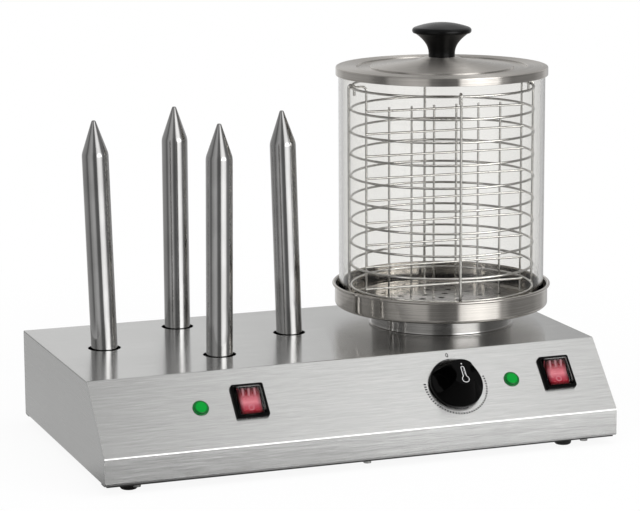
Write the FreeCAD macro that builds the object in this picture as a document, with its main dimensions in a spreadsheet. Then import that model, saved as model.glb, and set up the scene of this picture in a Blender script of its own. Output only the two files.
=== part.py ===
import FreeCAD, Part
import math
import os
from types import SimpleNamespace

import Sketcher
from FreeCAD import Placement, Rotation, Vector

# A counter-top hot dog steamer, in millimetres. X runs to the right along the casing, Y to the back, Z up.
# The origin is on the floor, under the middle of the whole object.

DIMENSIONS = {
    # Clearances and cuts that many pieces share
    "overrun": 2.0,
    "seat_gap": 0.3,
    "fit_gap": 0.1,
    "running_gap": 0.05,
    # Casing: one folded sheet, with a flanged panel set into each end
    "casing_width": 500.0,
    "casing_depth": 285.0,
    "casing_height": 84.0,
    "lip_height": 25.5,
    "slope_angle": 47.6,
    "sheet": 1.0,
    "bend_radius": 1.5,
    "return_flange": 12.0,
    # Base plate, its screws and its air slots
    "base_sheet": 1.2,
    "base_inset": 2.5,
    "base_screw_end_inset": 31.0,
    "base_screw_edge_inset": 6.5,
    "base_screw_radius": 2.0,
    "base_screw_head_radius": 3.6,
    "base_screw_head_height": 2.2,
    "base_screw_grip": 3.0,
    "slot_length": 44.0,
    "slot_width": 4.0,
    "slot_pitch": 11.0,
    # Feet
    "foot_height": 6.8,
    "foot_radius": 8.7,
    "foot_toe_radius": 7.6,
    "foot_round": 2.0,
    "foot_left_inset": 27.0,
    "foot_right_inset": 47.0,
    "foot_edge_inset": 18.5,
    "foot_recess_radius": 3.9,
    "foot_recess_depth": 3.2,
    "foot_screw_radius": 1.8,
    "foot_screw_head_radius": 3.4,
    "foot_screw_head_height": 2.0,
    # Heated spikes, in a diamond on the left
    "spike_group_inset": 5.5,
    "spike_back_inset": 39.0,
    "spike_pan_gap": 51.3,
    "spike_front_inset": 60.58,
    "spike_hole_radius": 15.5,
    "spike_radius": 12.5,
    "spike_wall": 1.5,
    "spike_height": 216.6,
    "spike_cone_height": 31.8,
    "spike_lean_angle": 1.6,
    "spike_front_lean_angle": 0.6,
    "spike_lean_gap": 0.4,
    "spike_nose_radius": 1.9,
    "spike_nose_round": 1.7,
    "plug_flange": 3.0,
    "plug_boss": 8.0,
    "plug_spigot_radius": 8.0,
    "plug_spigot_tail": 3.0,
    "plug_bore_radius": 5.0,
    "spike_nut_across": 24.0,
    "spike_nut_height": 8.0,
    "heater_radius": 10.4,
    "heater_length": 190.0,
    "heater_lead_radius": 1.3,
    "heater_lead_spacing": 5.0,
    "heater_lead_length": 34.0,
    # Bridge that carries the spikes
    "bridge_sheet": 2.0,
    "bridge_height": 38.0,
    "bridge_margin_x": 19.5,
    "bridge_margin_y": 16.5,
    "bridge_foot": 14.0,
    "bridge_bend_radius": 1.5,
    "bridge_screw_radius": 2.5,
    "bridge_screw_head_radius": 4.4,
    "bridge_screw_head_height": 2.6,
    "bridge_screw_inset": 14.0,
    # Boiler: collar, hotplate and what holds them down
    "boiler_right_inset": 107.5,
    "boiler_middle_offset": 2.29,
    "boiler_hole_radius": 64.0,
    "collar_height": 19.0,
    "collar_radius": 68.6,
    "collar_flange_radius": 71.0,
    "collar_sheet": 1.2,
    "collar_fold_gap": 0.6,
    "collar_lip": 5.0,
    "hotplate_rim": 4.3,
    "hotplate_boss": 8.5,
    "element_ring_radius": 45.0,
    "element_radius": 4.0,
    "element_gap_angle": 30.0,
    "element_pin_radius": 2.5,
    "element_pin_length": 14.0,
    "stud_radius": 4.0,
    "stud_depth": 7.0,
    "stud_tail": 3.0,
    "clamp_bar_overlap": 18.0,
    "clamp_bar_width": 25.0,
    "clamp_bar_sheet": 3.0,
    "clamp_nut_across": 13.0,
    "clamp_nut_height": 6.5,
    "cutout_radius": 8.0,
    "cutout_height": 7.0,
    "cutout_offset": 26.0,
    "tab_width": 6.3,
    "tab_sheet": 0.8,
    "tab_length": 8.0,
    # Water dish
    "pan_radius": 104.2,
    "pan_sheet": 1.0,
    "pan_height": 20.5,
    "pan_step": 2.5,
    "pan_step_radius": 64.5,
    "pan_corner_radius": 3.0,
    "pan_bead_radius": 1.5,
    # Glass cylinder
    "glass_gap": 3.2,
    "glass_wall": 4.0,
    "glass_height": 231.8,
    "glass_edge_round": 1.2,
    # Wire basket
    "ring_gap": 7.4,
    "basket_offset": 0.8,
    "ring_wire": 1.2,
    "ring_pitch": 21.7,
    "ring_lowest": 18.0,
    "upright_wire": 1.3,
    "upright_angle": -10.0,
    "upright_bend": 6.0,
    "upright_toe_reach": 18.0,
    "upright_hook_drop": 8.0,
    "grid_wire": 1.1,
    "grid_end_gap": 7.7,
    "grid_offset": 3.1,
    "grid_overhang": 1.6,
    "grid_bend": 4.0,
    "basket_turn_angle": -1.9,
    "floor_gap": 10.0,
    "floor_sheet": 1.0,
    "floor_hole_radius": 3.2,
    "floor_hole_margin": 18.0,
    # Lid and its knob
    "lid_gap": 2.8,
    "lid_sheet": 1.0,
    "lid_skirt": 8.3,
    "lid_step": 0.8,
    "lid_ring_inset": 17.5,
    "lid_ring_width": 13.1,
    "lid_cone_rise": 6.4,
    "lid_neck_foot_radius": 24.0,
    "lid_neck_rise": 3.2,
    "lid_neck_radius": 15.0,
    "lid_corner_radius": 1.6,
    "lid_knob_radius": 28.7,
    "lid_knob_height": 33.0,
    "lid_knob_neck_radius": 12.8,
    "lid_knob_edge_height": 25.5,
    "lid_knob_dome": 5.0,
    "lid_screw_radius": 2.5,
    "lid_screw_depth": 12.0,
    "lid_screw_head_radius": 5.0,
    "lid_screw_head_height": 2.6,
    # Control panel, measured up the slope from the lip
    "control_line": 41.5,
    "lamp_line": 41.9,
    "switch_line": 44.0,
    "lamp_left_inset": 98.1,
    "lamp_right_inset": 96.3,
    "switch_left_inset": 144.9,
    "switch_right_inset": 49.2,
    "thermostat_boiler_offset": 45.9,
    # Pilot lamps
    "lamp_flange_radius": 7.6,
    "lamp_flange_height": 1.0,
    "lamp_dome_radius": 6.3,
    "lamp_dome_height": 2.6,
    "lamp_dome_round": 1.4,
    "lamp_wall": 1.2,
    "lamp_body_radius": 5.9,
    "lamp_body_length": 21.0,
    "lamp_nut_radius": 8.6,
    "lamp_nut_height": 3.0,
    # Rocker switches
    "switch_width": 31.0,
    "switch_height": 34.2,
    "switch_frame": 4.0,
    "switch_corner": 2.0,
    "switch_border": 3.0,
    "switch_shelf": 1.5,
    "switch_body_width": 26.4,
    "switch_body_height": 30.0,
    "switch_body_depth": 22.0,
    "well_width": 21.6,
    "well_height": 27.2,
    "well_depth": 9.0,
    "cover_height": 7.8,
    "cover_wall": 0.8,
    "cover_round": 2.2,
    "rocker_width": 20.6,
    "rocker_half_length": 12.4,
    "rocker_end_height": 3.5,
    "rocker_middle_height": 2.1,
    "rocker_skirt": 0.2,
    "rocker_keel_half_length": 6.0,
    "rocker_keel_depth": 5.0,
    "rocker_tilt_angle": 10.0,
    "rocker_pip_radius": 1.2,
    "rocker_pip_length": 0.9,
    # Thermostat
    "thermostat_plate_width": 38.0,
    "thermostat_plate_height": 26.0,
    "thermostat_plate_sheet": 1.5,
    "thermostat_can_radius": 16.0,
    "thermostat_can_depth": 18.0,
    "bushing_radius": 4.9,
    "bushing_height": 1.6,
    "shaft_radius": 3.0,
    "shaft_below": 9.0,
    "shaft_above": 13.0,
    "shaft_flat": 1.5,
    "thermostat_screw_offset": 14.0,
    "thermostat_screw_radius": 2.0,
    "thermostat_screw_head_radius": 3.4,
    "thermostat_screw_head_height": 1.6,
    "knob_radius": 26.1,
    "knob_lift": 1.0,
    "knob_skirt": 3.0,
    "knob_shoulder_radius": 24.6,
    "knob_shoulder_height": 6.5,
    "knob_top_radius": 13.2,
    "knob_top_height": 25.0,
    "knob_ridge_half_width": 7.0,
    "knob_scoop_radius": 11.9,
    "knob_scoop_drop": 0.6,
    "knob_wall": 2.4,
    "knob_roof": 2.2,
    "knob_hub_radius": 6.0,
    "sensor_radius": 3.0,
    "sensor_length": 42.0,
    "sensor_clearance": 1.5,
    "capillary_radius": 1.0,
    "capillary_bend": 8.0,
    "capillary_stub": 16.0,
    # Cable gland in the back wall
    "gland_inset": 62.0,
    "gland_height": 38.0,
    "gland_reach": 16.0,
    "gland_hex_across": 22.0,
    "gland_hex_height": 5.0,
    "gland_cap_radius": 10.0,
    "gland_cap_round": 3.0,
    "gland_thread_radius": 8.0,
    "gland_thread_length": 10.0,
    "gland_bore_radius": 3.8,
    "gland_nut_across": 22.0,
    "gland_nut_height": 4.5,
    # Terminal block and earth stud on the base plate
    "terminal_width": 36.0,
    "terminal_depth": 20.0,
    "terminal_height": 15.0,
    "terminal_back_inset": 62.0,
    "terminal_pitch": 11.0,
    "terminal_hole_radius": 2.4,
    "terminal_screw_radius": 1.5,
    "terminal_screw_depth": 5.0,
    "terminal_screw_head_radius": 2.2,
    "terminal_screw_head_height": 2.0,
    "earth_stud_radius": 2.5,
    "earth_stud_length": 16.0,
    "earth_offset": 34.0,
    "earth_nut_across": 8.0,
    "earth_nut_height": 4.0,
}

RING_COUNT = 10
UPRIGHT_COUNT = 4
GRID_VERTICAL_COUNT = 8
FLOOR_HOLE_CIRCLES = 3
FLOOR_HOLES_PER_CIRCLE = 6
SLOTS_PER_ROW = 9
TERMINAL_COUNT = 3
FULL_TURN = 360
RIGHT_ANGLE = 90
SQUARE_ROOT_OF_3 = math.sqrt(3)

# Shares of the size that each one multiplies
SOCKET_SHARE = 0.7
ROLLED_EDGE_SHARE = 0.6
# Lid knob: heights of the straight neck and of the flare's middle, and how far out the flare's middle lies
NECK_HEIGHT_SHARE = 0.12
FLARE_HEIGHT_SHARE = 0.52
FLARE_REACH_SHARE = 0.28
FLARE_END_SHARE = 0.965
SHOULDER_SHARE = 0.955


class Size:
    """A number kept together with the sheet formula that gives it."""

    def __init__(self, value, formula):
        self.value = value
        self.formula = formula

    def joined(self, sign, other, value):
        return Size(value, f"({self.formula} {sign} {other.formula})")

    def __add__(self, other):
        other = as_size(other)
        return self.joined("+", other, self.value + other.value)

    def __sub__(self, other):
        other = as_size(other)
        return self.joined("-", other, self.value - other.value)

    def __mul__(self, other):
        other = as_size(other)
        return self.joined("*", other, self.value * other.value)

    def __truediv__(self, other):
        other = as_size(other)
        return self.joined("/", other, self.value / other.value)

    def __radd__(self, other):
        return as_size(other) + self

    def __rsub__(self, other):
        return as_size(other) - self

    def __rmul__(self, other):
        return as_size(other) * self

    def __neg__(self):
        return Size(-self.value, f"(0 - {self.formula})")


def as_size(number):
    if isinstance(number, Size):
        return number
    return Size(float(number), f"({number})")


def trigonometry(name, function, angle):
    angle = as_size(angle)
    return Size(function(math.radians(angle.value)), f"{name}({angle.formula} * 1 deg)")


def sine(angle):
    return trigonometry("sin", math.sin, angle)


def cosine(angle):
    return trigonometry("cos", math.cos, angle)


def tangent(angle):
    return trigonometry("tan", math.tan, angle)


def root(size):
    return Size(math.sqrt(size.value), f"sqrt({size.formula})")


doc = FreeCAD.newDocument("hot_dog_steamer")
sheet_page = doc.addObject("Spreadsheet::Sheet", "Sizes")
for row, (alias, number) in enumerate(DIMENSIONS.items(), start=1):
    sheet_page.set(f"A{row}", alias)
    sheet_page.set(f"B{row}", str(number))
    sheet_page.setAlias(f"B{row}", alias)
doc.recompute()

d = SimpleNamespace(**{alias: Size(number, f"Sizes.{alias}") for alias, number in DIMENSIONS.items()})
ZERO = as_size(0)
parts = {}


def bind(thing, path, size):
    """Tie one property of a document object to the sheet."""
    thing.setExpression(path, as_size(size).formula)


def place(thing, x=ZERO, y=ZERO, z=ZERO, tilt=None, turn=None, lean=None):
    """Put a thing at a point, tilted about X, leaned about Y or turned about Z."""
    axis = Vector(int(tilt is not None), int(lean is not None), int(tilt is None and lean is None))
    angle = as_size(next((one for one in (tilt, lean, turn) if one is not None), 0))
    x, y, z = as_size(x), as_size(y), as_size(z)
    thing.Placement = Placement(Vector(x.value, y.value, z.value), Rotation(axis, angle.value))
    bind(thing, "Placement.Base.x", x)
    bind(thing, "Placement.Base.y", y)
    bind(thing, "Placement.Base.z", z)
    if not (tilt is None and lean is None and turn is None):
        bind(thing, "Placement.Rotation.Angle", angle)
    return thing


def keep(name, thing):
    """Hand a finished thing in as the sub-part of that name."""
    thing.Label = name
    parts[name] = thing
    return thing


def circle_through(start, middle, end):
    """Centre and radius of the circle through three points, and whether it runs anticlockwise."""
    (ax, ay), (bx, by), (cx, cy) = start, middle, end
    cross = (bx - ax) * (cy - ay) - (by - ay) * (cx - ax)
    a2, b2, c2 = ax * ax + ay * ay, bx * bx + by * by, cx * cx + cy * cy
    x = (a2 * (by - cy) + b2 * (cy - ay) + c2 * (ay - by)) / (2 * cross)
    y = (a2 * (cx - bx) + b2 * (ax - cx) + c2 * (bx - ax)) / (2 * cross)
    return x, y, math.hypot(ax - x, ay - y), cross > 0


class Drawing:
    """A sketch on one of a body's own planes, every point of it held by a sheet formula."""

    def __init__(self, body, title, plane, offset, tilt):
        self.sketch = body.newObject("Sketcher::SketchObject", title)
        support = [one for one in body.Origin.OriginFeatures if one.Role == plane + "_Plane"][0]
        self.sketch.AttachmentSupport = [(support, "")]
        self.sketch.MapMode = "FlatFace"
        x, y, z = (as_size(one) for one in offset)
        angle = as_size(0 if tilt is None else tilt)
        base = Vector(x.value, y.value, z.value)
        self.sketch.AttachmentOffset = Placement(base, Rotation(Vector(1, 0, 0), angle.value))
        bind(self.sketch, "AttachmentOffset.Base.x", x)
        bind(self.sketch, "AttachmentOffset.Base.y", y)
        bind(self.sketch, "AttachmentOffset.Base.z", z)
        if tilt is not None:
            bind(self.sketch, "AttachmentOffset.Rotation.Angle", angle)

    def hold(self, kind, size, *where):
        index = self.sketch.addConstraint(Sketcher.Constraint(kind, *where, size.value))
        self.sketch.setExpression(f"Constraints[{index}]", size.formula)

    def hold_point(self, geometry, end, x, y):
        self.hold("DistanceX", as_size(x), -1, 1, geometry, end)
        self.hold("DistanceY", as_size(y), -1, 1, geometry, end)

    def outline(self, points):
        """A closed outline. A point with a third entry is reached by an arc through that entry."""
        ends = []
        for index, point in enumerate(points):
            previous = points[index - 1]
            start = Vector(as_size(previous[0]).value, as_size(previous[1]).value, 0)
            end = Vector(as_size(point[0]).value, as_size(point[1]).value, 0)
            if len(point) == 2:
                geometry = self.sketch.addGeometry(Part.LineSegment(start, end), False)
                ends.append((geometry, 1, 2))
            else:
                ends.append(self.arc(start, point[2], end))
        for index, (geometry, first, last) in enumerate(ends):
            following, start, _ = ends[(index + 1) % len(ends)]
            self.sketch.addConstraint(Sketcher.Constraint("Coincident", geometry, last, following, start))
        for (geometry, first, last), point in zip(ends, points):
            self.hold_point(geometry, last, point[0], point[1])
        return self

    def arc(self, start, middle, end):
        middle_x, middle_y = as_size(middle[0]), as_size(middle[1])
        through = (middle_x.value, middle_y.value)
        x, y, radius, anticlockwise = circle_through((start.x, start.y), through, (end.x, end.y))
        first, last = (start, end) if anticlockwise else (end, start)
        angle_first = math.atan2(first.y - y, first.x - x)
        angle_last = math.atan2(last.y - y, last.x - x)
        if angle_last <= angle_first:
            angle_last += 2 * math.pi
        circle = Part.Circle(Vector(x, y, 0), Vector(0, 0, 1), radius)
        geometry = self.sketch.addGeometry(Part.ArcOfCircle(circle, angle_first, angle_last), False)
        marker = self.sketch.addGeometry(Part.Point(Vector(through[0], through[1], 0)), True)
        self.hold_point(marker, 1, middle_x, middle_y)
        self.sketch.addConstraint(Sketcher.Constraint("PointOnObject", marker, 1, geometry))
        return (geometry, 1, 2) if anticlockwise else (geometry, 2, 1)

    def rectangle(self, low_x, high_x, low_y, high_y):
        return self.outline([(low_x, low_y), (high_x, low_y), (high_x, high_y), (low_x, high_y)])

    def hexagon(self, across):
        corner = across / SQUARE_ROOT_OF_3
        angles = [FULL_TURN / 6 * index for index in range(6)]
        return self.outline([(corner * cosine(angle), corner * sine(angle)) for angle in angles])

    def circles(self, places, radius):
        radius = as_size(radius)
        for x, y in places:
            x, y = as_size(x), as_size(y)
            circle = Part.Circle(Vector(x.value, y.value, 0), Vector(0, 0, 1), radius.value)
            geometry = self.sketch.addGeometry(circle, False)
            self.hold("Radius", radius, geometry)
            self.hold_point(geometry, 3, x, y)
        return self


def corners_of(half_x, half_y):
    return [(x, y) for x in (-half_x, half_x) for y in (-half_y, half_y)]


class Piece:
    """A sub-part made as a body. Its features are added in the order in which it would be made."""

    def __init__(self, name, x=ZERO, y=ZERO, z=ZERO, **angles):
        self.body = doc.addObject("PartDesign::Body", name)
        place(self.body, x, y, z, **angles)
        keep(name, self.body)

    def drawing(self, title, plane="XY", x=ZERO, y=ZERO, z=ZERO, tilt=None):
        return Drawing(self.body, title, plane, (x, y, z), tilt)

    def feature(self, kind, title, drawing, **settings):
        before = 0 if self.body.Shape.isNull() else self.body.Shape.Volume
        feature = self.body.newObject("PartDesign::" + kind, title)
        feature.Profile = drawing.sketch
        for path, value in settings.items():
            if isinstance(value, Size):
                bind(feature, path, value)
            else:
                setattr(feature, path, value)
        drawing.sketch.Visibility = False
        doc.recompute()
        if "Invalid" in feature.State or feature.Shape.isNull():
            raise ValueError(f"{self.body.Label}: {title} failed")
        change = self.body.Shape.Volume - before
        if (kind in ("Pocket", "Groove")) != (change < 0):
            raise ValueError(f"{self.body.Label}: {title} changed the volume by {change:.3f}")
        return feature

    def pad(self, title, drawing, length, both_ways=False, backwards=False):
        side = "Symmetric" if both_ways else "One side"
        length = as_size(length)
        return self.feature("Pad", title, drawing, SideType=side, Reversed=backwards, Length=length)

    def pocket(self, title, drawing, length, both_ways=False, forwards=False):
        """Cut against the sketch's own direction, or along it when forwards is set."""
        side = "Symmetric" if both_ways else "One side"
        length = as_size(length)
        return self.feature("Pocket", title, drawing, SideType=side, Reversed=forwards, Length=length)

    def spin(self, title, drawing):
        axis = (drawing.sketch, ["V_Axis"])
        return self.feature("Revolution", title, drawing, ReferenceAxis=axis, Angle=FULL_TURN)

    def groove(self, title, drawing):
        axis = (drawing.sketch, ["V_Axis"])
        return self.feature("Groove", title, drawing, ReferenceAxis=axis, Angle=FULL_TURN)

    def soften(self, title, radius, wanted):
        """Round the edges that the test picks."""
        tip = self.body.Tip
        names = [f"Edge{index}" for index, edge in enumerate(tip.Shape.Edges, start=1) if wanted(edge)]
        if not names:
            raise ValueError(f"{self.body.Label}: {title} found no edge")
        fillet = self.body.newObject("PartDesign::Fillet", title)
        fillet.Base = (tip, names)
        bind(fillet, "Radius", radius)
        doc.recompute()
        if "Invalid" in fillet.State:
            raise ValueError(f"{self.body.Label}: {title} failed")
        return fillet


def along(axis, corners):
    """Pick the straight edges along one axis that pass through the given points of the other two."""
    others = [index for index in range(3) if index != axis]
    corners = [tuple(as_size(one).value for one in corner) for corner in corners]

    def wanted(edge):
        if len(edge.Vertexes) != 2:
            return False
        start, end = edge.Vertexes[0].Point, edge.Vertexes[1].Point
        straight = all(abs(start[index] - end[index]) < 1e-4 for index in others)
        place_of = [start[index] for index in others]
        return straight and any(math.dist(place_of, corner) < 1e-3 for corner in corners)

    return wanted


def rim(radius, height):
    """Pick the full circles of one radius at one height."""

    def wanted(edge):
        curve = edge.Curve
        if not isinstance(curve, Part.Circle):
            return False
        same = abs(curve.Radius - as_size(radius).value) < 1e-3
        return same and abs(edge.BoundBox.Center.z - as_size(height).value) < 1e-3

    return wanted


def cylinder(radius, low, high, x=ZERO, y=ZERO):
    """An upright cylinder between two heights."""
    thing = doc.addObject("Part::Cylinder", "rod")
    bind(thing, "Radius", radius)
    bind(thing, "Height", high - low)
    return place(thing, x, y, low)


def hexagon_bar(across, low, high, x=ZERO, y=ZERO):
    thing = doc.addObject("Part::Prism", "hexagon_bar")
    thing.Polygon = 6
    bind(thing, "Circumradius", across / SQUARE_ROOT_OF_3)
    bind(thing, "Height", high - low)
    return place(thing, x, y, low)


def block(low, high):
    """A box between two corners."""
    thing = doc.addObject("Part::Box", "block")
    for path, start, end in zip(("Length", "Width", "Height"), low, high):
        bind(thing, path, as_size(end) - as_size(start))
    return place(thing, *low)


def fused(*things):
    if len(things) == 1:
        return things[0]
    whole = doc.addObject("Part::MultiFuse", "joined")
    whole.Shapes = list(things)
    return whole


def cut(base, *tools):
    result = doc.addObject("Part::Cut", "cut")
    result.Base = base
    result.Tool = fused(*tools)
    return result


def group(name, things, **where):
    """Several separate solids as one sub-part."""
    whole = doc.addObject("Part::Compound", name)
    whole.Links = things
    place(whole, **where)
    return keep(name, whole)


def shaped(shape):
    thing = doc.addObject("Part::Feature", "formed")
    thing.Shape = shape
    return thing


def bent_rod(points, bend, radius):
    """A round rod along straight runs joined by tangent arcs of one radius."""
    points = [Vector(*(as_size(one).value for one in point)) for point in points]
    bend, radius = as_size(bend).value, as_size(radius).value
    edges = []
    start = points[0]
    for before, corner, after in zip(points, points[1:], points[2:]):
        way_in = (corner - before).normalize()
        way_out = (after - corner).normalize()
        half_turn = way_in.getAngle(way_out) / 2
        setback = bend * math.tan(half_turn)
        arc_start = corner - way_in * setback
        arc_end = corner + way_out * setback
        inward = (way_out - way_in).normalize()
        arc_middle = corner + inward * (bend / math.cos(half_turn) - bend)
        edges.append(Part.LineSegment(start, arc_start).toShape())
        edges.append(Part.Arc(arc_start, arc_middle, arc_end).toShape())
        start = arc_end
    edges.append(Part.LineSegment(start, points[-1]).toShape())
    direction = (points[1] - points[0]).normalize()
    profile = Part.Wire([Part.Circle(points[0], direction, radius).toShape()])
    rod = Part.Wire(edges).makePipeShell([profile], True, False)
    length = sum(edge.Length for edge in edges)
    if abs(rod.Volume / (math.pi * radius * radius * length) - 1) > 0.01:
        raise ValueError("a bent rod has the wrong volume")
    return rod


# Levels and lines of the casing

front = -(d.casing_depth + d.gland_reach) / 2
back = front + d.casing_depth
left = -d.casing_width / 2
right = d.casing_width / 2
bottom = d.foot_height + d.base_sheet
top = bottom + d.casing_height
bend_height = bottom + d.lip_height
top_front = front + (d.casing_height - d.lip_height) / tangent(d.slope_angle)
under_top = top - d.sheet

boiler_x = right - d.boiler_right_inset
boiler_y = (top_front + back) / 2 + d.boiler_middle_offset
# The bridge's foot stands clear of the end panel's flange, and the right spike clear of the water dish
spike_first_x = left + d.sheet + d.return_flange + d.spike_group_inset + d.bridge_foot + d.bridge_margin_x
spike_last_x = boiler_x - d.pan_radius - d.spike_pan_gap
spike_reach_x = (spike_last_x - spike_first_x) / 2
spike_reach_y = (back - d.spike_back_inset - top_front - d.spike_front_inset) / 2
spike_middle = (spike_first_x + spike_reach_x, back - d.spike_back_inset - spike_reach_y)
spike_places = {
    "left": (spike_middle[0] - spike_reach_x, spike_middle[1]),
    "rear": (spike_middle[0], spike_middle[1] + spike_reach_y),
    "front": (spike_middle[0], spike_middle[1] - spike_reach_y),
    "right": (spike_middle[0] + spike_reach_x, spike_middle[1]),
}
base_screw_places = [
    (x, y)
    for x in (left + d.base_screw_end_inset, ZERO, right - d.base_screw_end_inset)
    for y in (front + d.base_screw_edge_inset, back - d.base_screw_edge_inset)
]
foot_places = {
    "front_left": (left + d.foot_left_inset, front + d.foot_edge_inset),
    "front_right": (right - d.foot_right_inset, front + d.foot_edge_inset),
    "rear_left": (left + d.foot_left_inset, back - d.foot_edge_inset),
    "rear_right": (right - d.foot_right_inset, back - d.foot_edge_inset),
}
lamp_x = {"left": left + d.lamp_left_inset, "right": right - d.lamp_right_inset}
switch_x = {"left": left + d.switch_left_inset, "right": right - d.switch_right_inset}
thermostat_x = boiler_x - d.thermostat_boiler_offset
gland_x = right - d.gland_inset


def on_panel(x, tilt=d.slope_angle, line=d.control_line):
    """The point of the sloped panel's outer face that lies so far up the slope."""
    y = front + line * cosine(d.slope_angle)
    z = bend_height + line * sine(d.slope_angle)
    return {"x": x, "y": y, "z": z, "tilt": tilt}


def casing_section(inset, floor):
    """The casing's five-cornered section, drawn in evenly, with its lower edge at a given height."""
    lip_drop = inset * tangent((RIGHT_ANGLE - d.slope_angle) / 2)
    top_shift = inset * tangent(d.slope_angle / 2)
    return [
        (front + inset, floor),
        (front + inset, bend_height - lip_drop),
        (top_front + top_shift, top - inset),
        (back - inset, top - inset),
        (back - inset, floor),
    ]


def make_casing():
    outer = casing_section(ZERO, bottom)
    inner = casing_section(d.sheet, bottom + d.sheet)
    casing = Piece("casing")
    casing.pad("shell", casing.drawing("outer_section", "YZ").outline(outer), d.casing_width, both_ways=True)
    hollow = casing.drawing("inner_section", "YZ").outline(inner)
    casing.pocket("hollow", hollow, d.casing_width + d.overrun, both_ways=True)
    casing.soften("outer_bends", d.bend_radius + d.sheet, along(0, outer))
    casing.soften("inner_bends", d.bend_radius, along(0, inner))
    mouth = casing.drawing("mouth", z=bottom)
    mouth.rectangle(left - d.overrun, right + d.overrun, front + d.return_flange, back - d.return_flange)
    casing.pocket("open_bottom", mouth, d.sheet * 2, both_ways=True)
    screws = casing.drawing("flange_holes", z=bottom)
    screws.circles(base_screw_places, d.base_screw_radius + d.fit_gap)
    casing.pocket("base_screw_holes", screws, d.sheet * 3, both_ways=True)
    tops = casing.drawing("spike_openings", z=top)
    tops.circles(spike_places.values(), d.spike_hole_radius)
    casing.pocket("spike_holes", tops, d.sheet * 3, both_ways=True)
    boiler = casing.drawing("boiler_opening", z=top)
    boiler.circles([(boiler_x, boiler_y)], d.boiler_hole_radius)
    casing.pocket("boiler_hole", boiler, d.sheet * 3, both_ways=True)
    make_panel_openings(casing)
    gland = casing.drawing("gland_opening", "XZ", z=-back)
    gland.circles([(gland_x, d.gland_height)], d.gland_thread_radius + d.fit_gap)
    casing.pocket("gland_hole", gland, d.sheet * 3, both_ways=True)


def make_panel_openings(casing):
    """The openings of the sloped panel, drawn on the slope itself."""
    depth = d.sheet * 3
    slope = {"y": front, "z": bend_height, "tilt": d.slope_angle}
    lamps = casing.drawing("lamp_openings", **slope)
    lamps.circles([(x, d.lamp_line) for x in lamp_x.values()], d.lamp_body_radius + d.fit_gap)
    casing.pocket("lamp_holes", lamps, depth, both_ways=True)
    shaft = casing.drawing("shaft_opening", **slope)
    shaft.circles([(thermostat_x, d.control_line)], d.bushing_radius + d.fit_gap)
    casing.pocket("shaft_hole", shaft, depth, both_ways=True)
    screws = casing.drawing("thermostat_screw_openings", **slope)
    offsets = (-d.thermostat_screw_offset, d.thermostat_screw_offset)
    places = [(thermostat_x + offset, d.control_line) for offset in offsets]
    screws.circles(places, d.thermostat_screw_radius + d.fit_gap)
    casing.pocket("thermostat_screw_holes", screws, depth, both_ways=True)
    half_width = d.switch_body_width / 2 + d.seat_gap
    half_height = d.switch_body_height / 2 + d.seat_gap
    for side, x in switch_x.items():
        opening = casing.drawing(f"switch_opening_{side}", **slope)
        low, high = d.switch_line - half_height, d.switch_line + half_height
        opening.rectangle(x - half_width, x + half_width, low, high)
        casing.pocket(f"switch_hole_{side}", opening, depth, both_ways=True)


def make_end_panel(side):
    """A shallow tray that closes one end, its rims lying under the folded sheet."""
    inset = d.sheet + d.seat_gap
    outer = casing_section(inset, bottom + inset)
    inner = casing_section(inset + d.sheet, bottom + inset + d.sheet)
    on_left = side == "left"
    face = left if on_left else right
    floor = left + d.sheet if on_left else right - d.sheet
    panel = Piece(f"{side}_end_panel")
    tray = panel.drawing("outer_section", "YZ", z=face).outline(outer)
    panel.pad("tray", tray, d.return_flange, backwards=not on_left)
    panel.soften("corners", d.bend_radius, along(0, outer))
    hollow = panel.drawing("inner_section", "YZ", z=floor).outline(inner)
    panel.pocket("hollow", hollow, d.return_flange, forwards=on_left)


def make_base_plate():
    plate = Piece("base_plate")
    edge = plate.drawing("edge", z=d.foot_height)
    edge.rectangle(left + d.base_inset, right - d.base_inset, front + d.base_inset, back - d.base_inset)
    plate.pad("plate", edge, d.base_sheet)
    depth = d.base_sheet * 3
    screws = plate.drawing("screw_openings", z=d.foot_height)
    screws.circles(base_screw_places, d.base_screw_radius + d.fit_gap)
    plate.pocket("screw_holes", screws, depth, both_ways=True)
    feet = plate.drawing("foot_openings", z=d.foot_height)
    feet.circles(foot_places.values(), d.foot_screw_radius + d.fit_gap)
    plate.pocket("foot_holes", feet, depth, both_ways=True)
    bridge = plate.drawing("bridge_openings", z=d.foot_height)
    bridge.circles(bridge_screw_places(), d.bridge_screw_radius + d.fit_gap)
    plate.pocket("bridge_holes", bridge, depth, both_ways=True)
    slots = plate.drawing("air_openings", z=d.foot_height)
    half_row = d.slot_pitch * (SLOTS_PER_ROW - 1) / 2
    for row_x in (spike_middle[0], boiler_x):
        for index in range(SLOTS_PER_ROW):
            x = row_x - half_row + d.slot_pitch * index
            low, high = boiler_y - d.slot_length / 2, boiler_y + d.slot_length / 2
            slots.rectangle(x - d.slot_width / 2, x + d.slot_width / 2, low, high)
    plate.pocket("air_slots", slots, depth, both_ways=True)


def screws(name, places, radius, low, high, head_radius, head_height, head_below=True, **where):
    """Pan-head screws with a hexagon socket, shank between two heights and the head past one of them."""
    made = []
    for x, y in places:
        shank = cylinder(radius, low, high, x, y)
        socket = head_radius * SOCKET_SHARE
        if head_below:
            head = cylinder(head_radius, low - head_height, low, x, y)
            hollow = hexagon_bar(socket, low - head_height * 2, low - head_height / 2, x, y)
        else:
            head = cylinder(head_radius, high, high + head_height, x, y)
            hollow = hexagon_bar(socket, high + head_height / 2, high + head_height * 2, x, y)
        made.append(cut(fused(shank, head), hollow))
    return group(name, made, **where)


def nuts(name, places, across, bore, low, high, **where):
    made = []
    for x, y in places:
        bar = hexagon_bar(across, low, high, x, y)
        made.append(cut(bar, cylinder(bore, low - d.overrun, high + d.overrun, x, y)))
    return group(name, made, **where)


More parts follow.
